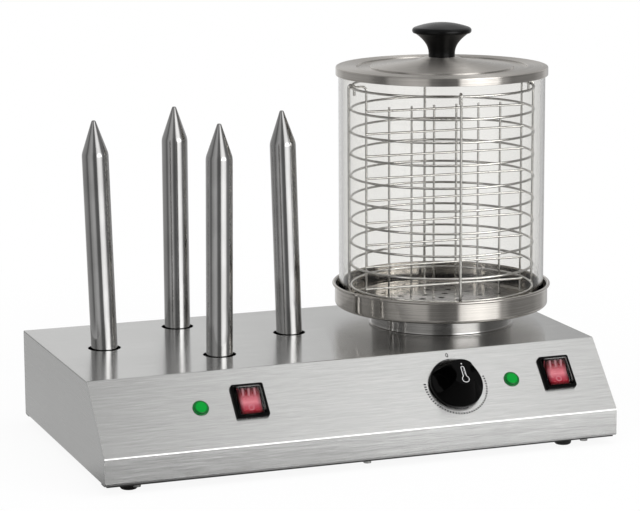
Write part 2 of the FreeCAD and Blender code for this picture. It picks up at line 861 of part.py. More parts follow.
def make_feet():
    for corner, (x, y) in foot_places.items():
        foot = Piece(f"foot_{corner}", x, y)
        hole = d.foot_screw_radius + d.fit_gap
        profile = foot.drawing("profile", "XZ").outline([
            (hole, d.foot_height),
            (hole, d.foot_recess_depth),
            (d.foot_recess_radius, d.foot_recess_depth),
            (d.foot_recess_radius, ZERO),
            (d.foot_toe_radius, ZERO),
            (d.foot_radius, d.foot_height),
        ])
        foot.spin("rubber", profile)
        foot.soften("toe", d.foot_round, rim(d.foot_toe_radius, ZERO))
    low, high = d.foot_recess_depth, bottom + d.base_screw_grip
    screws(
        "foot_screws", foot_places.values(), d.foot_screw_radius, low, high,
        d.foot_screw_head_radius, d.foot_screw_head_height,
    )


def make_base_screws():
    low, high = d.foot_height, bottom + d.sheet + d.base_screw_grip
    screws(
        "base_screws", base_screw_places, d.base_screw_radius, low, high,
        d.base_screw_head_radius, d.base_screw_head_height,
    )


# The bridge stands on the base plate and the spikes stand on the bridge

bridge_top = bottom + d.bridge_height
bridge_left = spike_middle[0] - spike_reach_x - d.bridge_margin_x
bridge_right = spike_middle[0] + spike_reach_x + d.bridge_margin_x
spike_seat = bridge_top + d.plug_flange
spike_tip = top + d.spike_height
spike_shoulder = spike_tip - d.spike_cone_height
spike_inner_radius = d.spike_radius - d.spike_wall
# The tubes lean about the middle of their plugs, so their feet stand off from their openings
spike_pivot = spike_seat + d.plug_boss / 2
spike_leans = {
    "left": -d.spike_lean_angle,
    "rear": ZERO,
    "front": d.spike_front_lean_angle,
    "right": -d.spike_lean_angle,
}
spike_feet = {
    side: (x - (top - spike_pivot) * tangent(spike_leans[side]), y)
    for side, (x, y) in spike_places.items()
}
plug_tail = bridge_top - d.bridge_sheet - d.spike_nut_height - d.plug_spigot_tail


def bridge_screw_places():
    reach = spike_reach_y + d.bridge_margin_y - d.bridge_screw_inset
    return [
        (x, spike_middle[1] + offset)
        for x in (bridge_left - d.bridge_foot / 2, bridge_right + d.bridge_foot / 2)
        for offset in (-reach, reach)
    ]


def make_bridge():
    wall = d.bridge_sheet
    bends = [
        (bridge_left + wall, bottom),
        (bridge_left + wall, bridge_top - wall),
        (bridge_right - wall, bridge_top - wall),
        (bridge_right - wall, bottom),
        (bridge_right, bottom + wall),
        (bridge_right, bridge_top),
        (bridge_left, bridge_top),
        (bridge_left, bottom + wall),
    ]
    section = [
        (bridge_left - d.bridge_foot, bottom),
        *bends[:4],
        (bridge_right + d.bridge_foot, bottom),
        (bridge_right + d.bridge_foot, bottom + wall),
        *bends[4:],
        (bridge_left - d.bridge_foot, bottom + wall),
    ]
    bridge = Piece("spike_bridge")
    profile = bridge.drawing("section", "XZ", z=-spike_middle[1]).outline(section)
    bridge.pad("strip", profile, (spike_reach_y + d.bridge_margin_y) * 2, both_ways=True)
    outer_bends = bends[:1] + bends[3:4] + bends[5:7]
    inner_bends = bends[1:3] + bends[4:5] + bends[7:]
    bridge.soften("outer_bends", d.bridge_bend_radius + wall, along(1, outer_bends))
    bridge.soften("inner_bends", d.bridge_bend_radius, along(1, inner_bends))
    seats = bridge.drawing("plug_openings", z=bridge_top)
    seats.circles(spike_feet.values(), d.plug_spigot_radius + d.fit_gap)
    bridge.pocket("plug_holes", seats, wall * 3, both_ways=True)
    feet = bridge.drawing("screw_openings", z=bottom)
    feet.circles(bridge_screw_places(), d.bridge_screw_radius + d.fit_gap)
    bridge.pocket("screw_holes", feet, wall * 3, both_ways=True)
    screws(
        "bridge_screws", bridge_screw_places(), d.bridge_screw_radius, d.foot_height, bottom + wall,
        d.bridge_screw_head_radius, d.bridge_screw_head_height, head_below=False,
    )


def make_spikes():
    low = spike_seat + d.spike_lean_gap - spike_pivot
    shoulder, tip = spike_shoulder - spike_pivot, spike_tip - spike_pivot
    inner_apex = tip - d.spike_wall * d.spike_cone_height / d.spike_radius
    for side, (x, y) in spike_feet.items():
        spike = Piece(f"spike_{side}", x, y, spike_pivot, lean=spike_leans[side])
        profile = spike.drawing("profile", "XZ").outline([
            (spike_inner_radius, low),
            (d.spike_radius, low),
            (d.spike_radius, shoulder),
            (d.spike_nose_radius, tip),
            (ZERO, tip),
            (ZERO, inner_apex),
            (spike_inner_radius, shoulder),
        ])
        spike.spin("tube", profile)
        spike.soften("nose", d.spike_nose_round, rim(d.spike_nose_radius, tip))
        make_spike_heater(side, x, y)
    plugs = []
    boss_radius = spike_inner_radius - d.spike_lean_gap / 2
    for x, y in spike_feet.values():
        flange = cylinder(d.spike_radius, bridge_top, spike_seat, x, y)
        boss = cylinder(boss_radius, spike_seat, spike_seat + d.plug_boss, x, y)
        spigot = cylinder(d.plug_spigot_radius, plug_tail, bridge_top, x, y)
        bore_top = spike_seat + d.plug_boss + d.overrun
        bore = cylinder(d.plug_bore_radius, plug_tail - d.overrun, bore_top, x, y)
        plugs.append(cut(fused(flange, boss, spigot), bore))
    group("spike_plugs", plugs)
    nut_top = bridge_top - d.bridge_sheet
    nut_low = nut_top - d.spike_nut_height
    bore = d.plug_spigot_radius + d.running_gap
    nuts("spike_nuts", spike_feet.values(), d.spike_nut_across, bore, nut_low, nut_top)


def make_spike_heater(side, x, y):
    """A cartridge that stands on the plug, with its two leads hanging through the plug's bore."""
    low = d.plug_boss / 2 + d.spike_lean_gap
    rod = cylinder(d.heater_radius, low, low + d.heater_length)
    leads = [
        cylinder(d.heater_lead_radius, low - d.heater_lead_length, low, offset)
        for offset in (-d.heater_lead_spacing / 2, d.heater_lead_spacing / 2)
    ]
    keep(f"spike_heater_{side}", place(fused(rod, *leads), x, y, spike_pivot, lean=spike_leans[side]))


# The collar stands on the casing, the hotplate in the collar and the dish on the hotplate

collar_top = top + d.collar_height
pan_underside = collar_top + d.seat_gap
hotplate_top = pan_underside - d.pan_step
collar_lip_top = hotplate_top - d.hotplate_rim
collar_inner_radius = d.collar_radius - d.collar_sheet * 2 - d.collar_fold_gap
boss_bottom = collar_lip_top - d.hotplate_boss
pan_floor = pan_underside + d.pan_sheet
at_boiler = {"x": boiler_x, "y": boiler_y}
at_basket = {"x": boiler_x + d.basket_offset, "y": boiler_y}


def make_collar():
    wall = d.collar_sheet
    outside = d.collar_radius
    inside = collar_inner_radius
    collar = Piece("boiler_collar", **at_boiler)
    profile = collar.drawing("profile", "XZ").outline([
        (d.boiler_hole_radius, top),
        (d.collar_flange_radius, top),
        (d.collar_flange_radius, top + wall),
        (outside, top + wall),
        (outside, collar_top),
        (inside, collar_top),
        (inside, collar_lip_top),
        (inside - d.collar_lip, collar_lip_top),
        (inside - d.collar_lip, collar_lip_top - wall),
        (inside + wall, collar_lip_top - wall),
        (inside + wall, collar_top - wall),
        (outside - wall, collar_top - wall),
        (outside - wall, top + wall),
        (d.boiler_hole_radius, top + wall),
    ])
    collar.spin("ring", profile)
    collar.soften("rolled_edge", wall * ROLLED_EDGE_SHARE, rim(outside, collar_top))


def make_hotplate():
    rim_radius = collar_inner_radius - d.seat_gap
    boss_radius = collar_inner_radius - d.collar_lip - d.seat_gap
    plate = Piece("hotplate", **at_boiler)
    profile = plate.drawing("profile", "XZ").outline([
        (ZERO, boss_bottom),
        (boss_radius, boss_bottom),
        (boss_radius, collar_lip_top),
        (rim_radius, collar_lip_top),
        (rim_radius, hotplate_top),
        (ZERO, hotplate_top),
    ])
    plate.spin("casting", profile)
    seat = plate.drawing("element_section", "XZ")
    seat.circles([(d.element_ring_radius, boss_bottom)], d.element_radius + d.fit_gap)
    plate.groove("element_seat", seat)
    hole = plate.drawing("stud_opening", z=boss_bottom)
    hole.circles([(ZERO, ZERO)], d.stud_radius + d.running_gap)
    plate.pocket("stud_hole", hole, d.stud_depth, forwards=True)


def make_element():
    """A ring-shaped tube, open in front, with a pin at each end."""
    ring = doc.addObject("Part::Torus", "ring")
    bind(ring, "Radius1", d.element_ring_radius)
    bind(ring, "Radius2", d.element_radius)
    bind(ring, "Angle3", FULL_TURN - d.element_gap_angle)
    place(ring, z=boss_bottom, turn=d.element_gap_angle / 2 - RIGHT_ANGLE)
    pins = [
        cylinder(
            d.element_pin_radius, boss_bottom - d.element_pin_length, boss_bottom,
            d.element_ring_radius * cosine(angle), d.element_ring_radius * sine(angle),
        )
        for angle in (d.element_gap_angle / 2 - RIGHT_ANGLE, -d.element_gap_angle / 2 - RIGHT_ANGLE)
    ]
    keep("hotplate_element", place(fused(ring, *pins), **at_boiler))


def make_clamp():
    bar_low = under_top - d.clamp_bar_sheet
    nut_low = bar_low - d.clamp_nut_height
    stud = cylinder(d.stud_radius, nut_low - d.stud_tail, boss_bottom + d.stud_depth, boiler_x, boiler_y)
    keep("hotplate_stud", stud)
    bar = Piece("clamp_bar", **at_boiler)
    half_length = d.boiler_hole_radius + d.clamp_bar_overlap
    strip = bar.drawing("strip", z=bar_low)
    strip.rectangle(-half_length, half_length, -d.clamp_bar_width / 2, d.clamp_bar_width / 2)
    bar.pad("bar", strip, d.clamp_bar_sheet)
    bar.soften("ends", d.clamp_bar_width / 4, along(2, corners_of(half_length, d.clamp_bar_width / 2)))
    hole = bar.drawing("stud_opening", z=bar_low)
    hole.circles([(ZERO, ZERO)], d.stud_radius + d.seat_gap)
    bar.pocket("stud_hole", hole, d.clamp_bar_sheet * 3, both_ways=True)
    bore = d.stud_radius + d.running_gap
    nuts("clamp_nut", [(boiler_x, boiler_y)], d.clamp_nut_across, bore, nut_low, bar_low)


def make_cutout():
    """A button-shaped safety switch pressed to the hotplate's underside, with two tabs."""
    low = boss_bottom - d.cutout_height
    y = boiler_y + d.cutout_offset
    can = cylinder(d.cutout_radius, low, boss_bottom, boiler_x, y)
    tabs = []
    for offset in (-d.cutout_radius / 2, d.cutout_radius / 2):
        x = boiler_x + offset
        corner = (x - d.tab_sheet / 2, y - d.tab_width / 2, low - d.tab_length)
        tabs.append(block(corner, (x + d.tab_sheet / 2, y + d.tab_width / 2, low)))
    keep("thermal_cutout", fused(can, *tabs))


def make_pan():
    wall = d.pan_sheet
    rim_height = pan_underside + d.pan_height
    pan = Piece("water_pan", **at_boiler)
    profile = pan.drawing("profile", "XZ").outline([
        (ZERO, hotplate_top),
        (d.pan_step_radius, hotplate_top),
        (d.pan_step_radius, pan_underside),
        (d.pan_radius, pan_underside),
        (d.pan_radius, rim_height),
        (d.pan_radius - wall, rim_height),
        (d.pan_radius - wall, pan_floor),
        (d.pan_step_radius - wall, pan_floor),
        (d.pan_step_radius - wall, hotplate_top + wall),
        (ZERO, hotplate_top + wall),
    ])
    pan.spin("dish", profile)
    pan.soften("outer_corner", d.pan_corner_radius, rim(d.pan_radius, pan_underside))
    pan.soften("inner_corner", d.pan_corner_radius - wall, rim(d.pan_radius - wall, pan_floor))
    bead = pan.drawing("bead_section", "XZ")
    bead.circles([(d.pan_radius - wall / 2 + d.pan_bead_radius, rim_height)], d.pan_bead_radius)
    pan.spin("rolled_rim", bead)


# The glass stands in the dish, the basket in the glass and the lid on the glass

glass_top = pan_floor + d.glass_height
glass_radius = d.pan_radius - d.pan_sheet - d.glass_gap
glass_inner_radius = glass_radius - d.glass_wall
ring_radius = glass_inner_radius - d.ring_gap
grid_half_width = ring_radius - d.grid_end_gap
floor_radius = ring_radius - d.floor_gap
ring_heights = [pan_floor + d.ring_lowest + d.ring_pitch * index for index in range(RING_COUNT)]
upright_radius = ring_radius + d.ring_wire + d.upright_wire + d.running_gap
toe_height = pan_floor + d.seat_gap + d.upright_wire
floor_low = toe_height + d.upright_wire + d.running_gap
floor_high = floor_low + d.floor_sheet


def make_glass():
    glass = Piece("glass_cylinder", **at_boiler)
    profile = glass.drawing("profile", "XZ")
    profile.rectangle(glass_inner_radius, glass_radius, pan_floor, glass_top)
    glass.spin("tube", profile)
    radii = (glass_inner_radius, glass_radius)
    picks = [rim(radius, height) for radius in radii for height in (pan_floor, glass_top)]
    glass.soften("polished_edges", d.glass_edge_round, lambda edge: any(pick(edge) for pick in picks))


def make_basket_rings():
    rings = []
    for height in ring_heights:
        ring = doc.addObject("Part::Torus", "ring")
        bind(ring, "Radius1", ring_radius)
        bind(ring, "Radius2", d.ring_wire)
        rings.append(place(ring, z=height))
    group("basket_rings", rings, turn=d.basket_turn_angle, **at_basket)


def make_basket_uprights():
    """Four wires: in under the floor, up outside the rings and hooked over the top one."""
    hook_radius = d.ring_wire + d.upright_wire + d.running_gap
    top_ring = ring_heights[-1]
    wires = []
    for index in range(UPRIGHT_COUNT):
        angle = d.upright_angle + FULL_TURN / UPRIGHT_COUNT * index
        profile = [
            (floor_radius - d.upright_toe_reach, toe_height),
            (upright_radius, toe_height),
            (upright_radius, top_ring),
        ]
        points = [(radius * cosine(angle), radius * sine(angle), height) for radius, height in profile]
        stem = bent_rod(points, d.upright_bend, d.upright_wire)
        outward = Vector(cosine(angle).value, sine(angle).value, 0)
        hook = hook_rod(outward, top_ring.value, hook_radius.value)
        wires.append(shaped(stem.fuse(hook).removeSplitter()))
    group("basket_uprights", wires, turn=d.basket_turn_angle, **at_basket)


def hook_rod(outward, height, radius):
    """The half loop over the top ring and the short straight end inside it."""
    middle = outward * ring_radius.value + Vector(0, 0, height)
    start = middle + outward * radius
    crown = middle + Vector(0, 0, radius)
    end = middle - outward * radius
    tail = end - Vector(0, 0, d.upright_hook_drop.value)
    loop = Part.Arc(start, crown, end).toShape()
    straight = Part.LineSegment(end, tail).toShape()
    profile = Part.Wire([Part.Circle(start, Vector(0, 0, 1), d.upright_wire.value).toShape()])
    return Part.Wire([loop, straight]).makePipeShell([profile], True, False)


def make_basket_divider():
    """A flat grid across the middle. Its two end wires run up and lie over the top ring."""
    pitch = grid_half_width * 2 / (GRID_VERTICAL_COUNT - 1)
    low = floor_high + d.running_gap
    inner_top = ring_heights[-2] + d.grid_wire * 3
    wires = [
        cylinder(d.grid_wire, low, inner_top, d.grid_offset + pitch * index - grid_half_width)
        for index in range(1, GRID_VERTICAL_COUNT - 1)
    ]
    over_ring = ring_heights[-1] + d.ring_wire + d.grid_wire + d.running_gap
    reach = ring_radius + d.ring_wire
    for side in (-1, 1):
        x = d.grid_offset + grid_half_width * side
        points = [(x, ZERO, low), (x, ZERO, over_ring), (reach * side, ZERO, over_ring)]
        wires.append(shaped(bent_rod(points, d.grid_bend, d.grid_wire)))
    first, last = (d.grid_offset + (grid_half_width + d.grid_overhang) * side for side in (-1, 1))
    in_front = -(d.grid_wire * 2 + d.running_gap)
    for height in ring_heights[:-1]:
        wires.append(shaped(bent_rod([(first, in_front, height), (last, in_front, height)], 0, d.grid_wire)))
    group("basket_divider", wires, turn=d.basket_turn_angle, **at_basket)


def make_basket_floor():
    floor = Piece("basket_floor", turn=d.basket_turn_angle, **at_basket)
    disc = floor.drawing("edge", z=floor_low).circles([(ZERO, ZERO)], floor_radius)
    floor.pad("disc", disc, d.floor_sheet)
    places = [(ZERO, ZERO)]
    for circle in range(1, FLOOR_HOLE_CIRCLES + 1):
        count = FLOOR_HOLES_PER_CIRCLE * circle
        for index in range(count):
            angle = FULL_TURN / count * index
            radius = (floor_radius - d.floor_hole_margin) / FLOOR_HOLE_CIRCLES * circle
            places.append((radius * cosine(angle), radius * sine(angle)))
    holes = floor.drawing("hole_pattern", z=floor_low).circles(places, d.floor_hole_radius)
    floor.pocket("holes", holes, d.floor_sheet * 3, both_ways=True)


# Levels of the lid

lid_radius = glass_radius + d.lid_gap
lid_ring_radius = glass_radius - d.lid_ring_inset
lid_cone_radius = lid_ring_radius - d.lid_ring_width
lid_top = glass_top + d.lid_sheet
lid_low_ring = lid_top - d.lid_step
lid_neck_foot = lid_low_ring + d.lid_cone_rise
knob_seat = lid_neck_foot + d.lid_neck_rise


def make_lid():
    wall = d.lid_sheet
    lid = Piece("lid", **at_boiler)
    profile = lid.drawing("profile", "XZ").outline([
        (lid_radius - wall, lid_top - d.lid_skirt),
        (lid_radius, lid_top - d.lid_skirt),
        (lid_radius, lid_top),
        (lid_ring_radius, lid_top),
        (lid_ring_radius, lid_low_ring),
        (lid_cone_radius, lid_low_ring),
        (d.lid_neck_foot_radius, lid_neck_foot),
        (d.lid_neck_radius, knob_seat),
        (ZERO, knob_seat),
        (ZERO, knob_seat - wall),
        (d.lid_neck_radius, knob_seat - wall),
        (d.lid_neck_foot_radius, lid_neck_foot - wall),
        (lid_cone_radius, lid_low_ring - wall),
        (lid_ring_radius + wall, lid_low_ring - wall),
        (lid_ring_radius + wall, lid_top - wall),
        (lid_radius - wall, lid_top - wall),
    ])
    lid.spin("pressing", profile)
    lid.soften("outer_corner", d.lid_corner_radius, rim(lid_radius, lid_top))
    lid.soften("inner_corner", d.lid_corner_radius - wall, rim(lid_radius - wall, lid_top - wall))
    hole = lid.drawing("screw_opening", z=knob_seat).circles([(ZERO, ZERO)], d.lid_screw_radius + d.fit_gap)
    lid.pocket("screw_hole", hole, wall * 3, both_ways=True)


def make_lid_knob():
    """A mushroom: a straight neck, a hollow flare and a domed top."""
    radius = d.lid_knob_radius
    neck = d.lid_knob_neck_radius
    edge = knob_seat + d.lid_knob_edge_height
    crown = knob_seat + d.lid_knob_height
    shoulder = crown - d.lid_knob_dome
    flare = edge - (radius - neck) / 8
    flare_x = neck + (radius - neck) * FLARE_REACH_SHARE
    flare_middle = (flare_x, knob_seat + d.lid_knob_edge_height * FLARE_HEIGHT_SHARE)
    dome_edge = radius * SHOULDER_SHARE
    dome_radius = (dome_edge * dome_edge + d.lid_knob_dome * d.lid_knob_dome) / (d.lid_knob_dome * 2)
    dome_x = dome_edge / 2
    dome_middle = (dome_x, crown - dome_radius + root(dome_radius * dome_radius - dome_x * dome_x))
    knob = Piece("lid_knob", **at_boiler)
    profile = knob.drawing("profile", "XZ").outline([
        (ZERO, knob_seat),
        (neck, knob_seat),
        (neck, knob_seat + d.lid_knob_edge_height * NECK_HEIGHT_SHARE),
        (radius * FLARE_END_SHARE, flare, flare_middle),
        (dome_edge, shoulder, (radius, (flare + shoulder) / 2)),
        (ZERO, crown, dome_middle),
    ])
    knob.spin("moulding", profile)
    hole = knob.drawing("screw_opening", z=knob_seat)
    hole.circles([(ZERO, ZERO)], d.lid_screw_radius + d.running_gap)
    knob.pocket("screw_hole", hole, d.lid_screw_depth + d.overrun, forwards=True)
    screws(
        "lid_knob_screw", [(boiler_x, boiler_y)], d.lid_screw_radius, knob_seat - d.lid_sheet,
        knob_seat + d.lid_screw_depth, d.lid_screw_head_radius, d.lid_screw_head_height,
    )


# Controls on the sloped panel: in each piece's own frame Z points straight out of the panel

panel_back = -d.sheet


def make_lamps():
    for side, x in lamp_x.items():
        where = on_panel(x, line=d.lamp_line)
        lens = Piece(f"lamp_lens_{side}", **where)
        flange = lens.drawing("flange_edge").circles([(ZERO, ZERO)], d.lamp_flange_radius)
        lens.pad("flange", flange, d.lamp_flange_height)
        dome = lens.drawing("dome_edge").circles([(ZERO, ZERO)], d.lamp_dome_radius)
        lens.pad("dome", dome, d.lamp_dome_height)
        lens.soften("crown", d.lamp_dome_round, rim(d.lamp_dome_radius, d.lamp_dome_height))
        hollow = lens.drawing("hollow_edge").circles([(ZERO, ZERO)], d.lamp_dome_radius - d.lamp_dome_round)
        lens.pocket("hollow", hollow, d.lamp_dome_height - d.lamp_wall, forwards=True)
        barrel = cylinder(d.lamp_body_radius, -d.lamp_body_length, ZERO)
        tabs = []
        for offset in (-d.lamp_body_radius / 2, d.lamp_body_radius / 2):
            low = (offset - d.tab_sheet / 2, -d.tab_width / 4, -d.lamp_body_length - d.tab_length)
            high = (offset + d.tab_sheet / 2, d.tab_width / 4, -d.lamp_body_length)
            tabs.append(block(low, high))
        keep(f"lamp_body_{side}", place(fused(barrel, *tabs), **where))
    rings = []
    for x in lamp_x.values():
        ring = cylinder(d.lamp_nut_radius, panel_back - d.lamp_nut_height, panel_back, x)
        bore = cylinder(d.lamp_body_radius + d.running_gap, panel_back - d.lamp_nut_height * 2, ZERO, x)
        rings.append(cut(ring, bore))
    group("lamp_nuts", rings, **on_panel(ZERO, line=d.lamp_line))


def make_switch(side, x):
    half_width, half_height = d.switch_width / 2, d.switch_height / 2
    switch = Piece(f"switch_body_{side}", **on_panel(x, line=d.switch_line))
    frame = switch.drawing("frame_edge").rectangle(-half_width, half_width, -half_height, half_height)
    switch.pad("frame", frame, d.switch_frame)
    switch.soften("corners", d.switch_corner, along(2, corners_of(half_width, half_height)))
    body_x, body_y = d.switch_body_width / 2, d.switch_body_height / 2
    body = switch.drawing("body_edge").rectangle(-body_x, body_x, -body_y, body_y)
    switch.pad("body", body, d.switch_body_depth, backwards=True)
    mouth_x, mouth_y = half_width - d.switch_border, half_height - d.switch_border
    mouth = switch.drawing("mouth_edge", z=d.switch_shelf).rectangle(-mouth_x, mouth_x, -mouth_y, mouth_y)
    switch.pocket("mouth", mouth, d.switch_frame, forwards=True)
    well_x, well_y = d.well_width / 2, d.well_height / 2
    well = switch.drawing("well_edge", z=d.switch_shelf).rectangle(-well_x, well_x, -well_y, well_y)
    switch.pocket("well", well, d.switch_shelf + d.well_depth)
    pips = switch.drawing("pip_opening", "YZ").circles([(ZERO, ZERO)], d.rocker_pip_radius + d.fit_gap)
    switch.pocket("pip_holes", pips, d.well_width + d.rocker_pip_length * 3, both_ways=True)
    for row in (-1, 1):
        tabs = switch.drawing(f"tab_edge_{'low' if row < 0 else 'high'}", z=-d.switch_body_depth)
        middle = d.switch_body_height / 4 * row
        tabs.rectangle(-d.tab_width / 2, d.tab_width / 2, middle - d.tab_sheet / 2, middle + d.tab_sheet / 2)
        switch.pad(f"tab_{'low' if row < 0 else 'high'}", tabs, d.tab_length, backwards=True)


def make_rocker(side, x):
    """A shallow vee on two pips. It lies tipped with its lower end pressed in."""
    tipped = d.slope_angle + d.rocker_tilt_angle
    rocker = Piece(f"rocker_{side}", **on_panel(x, tipped, d.switch_line))
    length = d.rocker_half_length
    keel = d.rocker_keel_half_length
    section = rocker.drawing("section", "YZ").outline([
        (-length, d.rocker_skirt),
        (-keel, -d.rocker_keel_depth),
        (keel, -d.rocker_keel_depth),
        (length, d.rocker_skirt),
        (length, d.rocker_end_height),
        (ZERO, d.rocker_middle_height),
        (-length, d.rocker_end_height),
    ])
    rocker.pad("button", section, d.rocker_width, both_ways=True)
    pips = rocker.drawing("pip_edge", "YZ").circles([(ZERO, ZERO)], d.rocker_pip_radius)
    rocker.pad("pips", pips, d.well_width + d.rocker_pip_length * 2, both_ways=True)


def make_splash_cover(side, x):
    """A clear bubble that stands on the shelf inside the switch's frame."""
    half_x = d.switch_width / 2 - d.switch_border - d.seat_gap
    half_y = d.switch_height / 2 - d.switch_border - d.seat_gap
    cover = Piece(f"splash_cover_{side}", **on_panel(x, line=d.switch_line))
    edge = cover.drawing("edge", z=d.switch_shelf).rectangle(-half_x, half_x, -half_y, half_y)
    cover.pad("bubble", edge, d.cover_height - d.switch_shelf)
    cover.soften("corners", d.cover_round, along(2, corners_of(half_x, half_y)))
    top_edge = d.cover_height.value
    cover.soften("top_edge", d.cover_round, lambda edge: abs(edge.BoundBox.ZMin - top_edge) < 1e-3)
    wall = d.cover_wall
    inside = cover.drawing("inside_edge", z=d.switch_shelf)
    inside.rectangle(-half_x + wall, half_x - wall, -half_y + wall, half_y - wall)
    cover.pocket("inside", inside, d.cover_height - d.switch_shelf - wall, forwards=True)


def make_thermostat():
    where = on_panel(thermostat_x)
    plate_low = panel_back - d.thermostat_plate_sheet
    can_low = plate_low - d.thermostat_can_depth
    body = Piece("thermostat_body", **where)
    half_x, half_y = d.thermostat_plate_width / 2, d.thermostat_plate_height / 2
    plate = body.drawing("plate_edge", z=plate_low).rectangle(-half_x, half_x, -half_y, half_y)
    body.pad("plate", plate, d.thermostat_plate_sheet)
    can = body.drawing("can_edge", z=plate_low).circles([(ZERO, ZERO)], d.thermostat_can_radius)
    body.pad("can", can, d.thermostat_can_depth, backwards=True)
    bushing = body.drawing("bushing_edge", z=panel_back).circles([(ZERO, ZERO)], d.bushing_radius)
    body.pad("bushing", bushing, d.bushing_height - panel_back)
    bore = body.drawing("bore_edge", z=-d.shaft_below)
    bore.circles([(ZERO, ZERO)], d.shaft_radius + d.running_gap)
    body.pocket("bore", bore, d.shaft_below + d.bushing_height + d.overrun, forwards=True)
    holes = body.drawing("screw_openings", z=panel_back)
    places = [(-d.thermostat_screw_offset, ZERO), (d.thermostat_screw_offset, ZERO)]
    holes.circles(places, d.thermostat_screw_radius + d.running_gap)
    body.pocket("screw_holes", holes, d.thermostat_plate_sheet * 3)
    screws(
        "thermostat_screws", places, d.thermostat_screw_radius, plate_low - d.thermostat_plate_sheet, ZERO,
        d.thermostat_screw_head_radius, d.thermostat_screw_head_height, head_below=False, **where,
    )
    low, high = -d.shaft_below + d.fit_gap, d.shaft_above
    rod = cylinder(d.shaft_radius, low, high)
    flat = block(
        (-d.shaft_radius * 2, d.shaft_flat, d.bushing_height + d.overrun),
        (d.shaft_radius * 2, d.shaft_radius * 2, high + d.overrun),
    )
    keep("thermostat_shaft", place(cut(rod, flat), **where))


def make_thermostat_knob():
    """A round base that rises as a cone, with a round finger scoop on each side of its ridge."""
    knob = Piece("thermostat_knob", **on_panel(thermostat_x))
    low = d.knob_lift
    high = d.knob_top_height
    profile = knob.drawing("profile", "XZ").outline([
        (ZERO, low),
        (d.knob_radius, low),
        (d.knob_radius, low + d.knob_skirt),
        (d.knob_shoulder_radius, d.knob_shoulder_height),
        (d.knob_top_radius, high),
        (ZERO, high),
    ])
    knob.spin("blank", profile)
    floor = d.knob_shoulder_height - d.knob_scoop_drop
    middle = d.knob_ridge_half_width + d.knob_scoop_radius
    scoops = knob.drawing("scoop_edges", z=floor)
    scoops.circles([(-middle, ZERO), (middle, ZERO)], d.knob_scoop_radius)
    knob.pocket("scoops", scoops, high, forwards=True)
    roof = d.knob_shoulder_height - d.knob_scoop_drop - d.knob_roof
    under = knob.drawing("underside_section", "XZ").rectangle(
        d.knob_hub_radius, d.knob_radius - d.knob_wall, low - d.overrun, roof
    )
    knob.groove("underside", under)
    hub = knob.drawing("hub_foot_edge", z=low).circles([(ZERO, ZERO)], d.knob_hub_radius + d.overrun)
    knob.pocket("hub_foot", hub, d.bushing_height + d.fit_gap * 2 - low, forwards=True)
    bore = knob.drawing("bore_edge", z=low).circles([(ZERO, ZERO)], d.shaft_radius + d.running_gap)
    knob.pocket("bore", bore, d.shaft_above + d.fit_gap - low, forwards=True)


def make_sensor():
    """The sensing rod under the hotplate and the fine tube that leads back to the thermostat."""
    out = d.thermostat_can_depth + d.thermostat_plate_sheet + d.sheet
    panel = on_panel(thermostat_x)
    sloped, level = sine(d.slope_angle), cosine(d.slope_angle)
    exit_y, exit_z = panel["y"] + out * sloped, panel["z"] - out * level
    stub_y, stub_z = exit_y + d.capillary_stub * sloped, exit_z - d.capillary_stub * level
    z = boss_bottom - d.sensor_radius - d.fit_gap
    x = thermostat_x
    rod_end = boiler_y - d.clamp_bar_width / 2 - d.sensor_clearance
    rod_start = rod_end - d.sensor_length
    riser_y = rod_start - d.capillary_bend
    points = [
        (x, exit_y, exit_z),
        (x, stub_y, stub_z),
        (x, riser_y, stub_z),
        (boiler_x, riser_y, stub_z),
        (boiler_x, riser_y, z),
        (boiler_x, rod_end, z),
    ]
    tube = bent_rod(points, d.capillary_bend, d.capillary_radius)
    start = Vector(boiler_x.value, rod_start.value, z.value)
    rod = Part.makeCylinder(d.sensor_radius.value, d.sensor_length.value, start, Vector(0, 1, 0))
    keep("thermostat_sensor", shaped(tube.fuse(rod)))


def make_gland():
    """The cable gland: outside a hexagon and a round cap, inside a thread and its nut."""
    where = {"x": gland_x, "y": back, "z": d.gland_height, "tilt": as_size(-RIGHT_ANGLE)}
    gland = Piece("cable_gland", **where)
    gland.pad("hexagon", gland.drawing("hexagon_edge").hexagon(d.gland_hex_across), d.gland_hex_height)
    cap = gland.drawing("cap_edge", z=d.gland_hex_height).circles([(ZERO, ZERO)], d.gland_cap_radius)
    gland.pad("cap", cap, d.gland_reach - d.gland_hex_height)
    gland.soften("cap_round", d.gland_cap_round, rim(d.gland_cap_radius, d.gland_reach))
    thread = gland.drawing("thread_edge").circles([(ZERO, ZERO)], d.gland_thread_radius)
    gland.pad("thread", thread, d.gland_thread_length, backwards=True)
    bore = gland.drawing("bore_edge", z=-d.gland_thread_length).circles([(ZERO, ZERO)], d.gland_bore_radius)
    gland.pocket("bore", bore, d.gland_thread_length + d.gland_reach + d.overrun, forwards=True)
    bore_radius = d.gland_thread_radius + d.running_gap
    low = panel_back - d.gland_nut_height
    nuts("gland_nut", [(ZERO, ZERO)], d.gland_nut_across, bore_radius, low, panel_back, **where)


terminal_y = back - d.terminal_back_inset
terminal_xs = [gland_x + d.terminal_pitch * (index - 1) for index in range(TERMINAL_COUNT)]


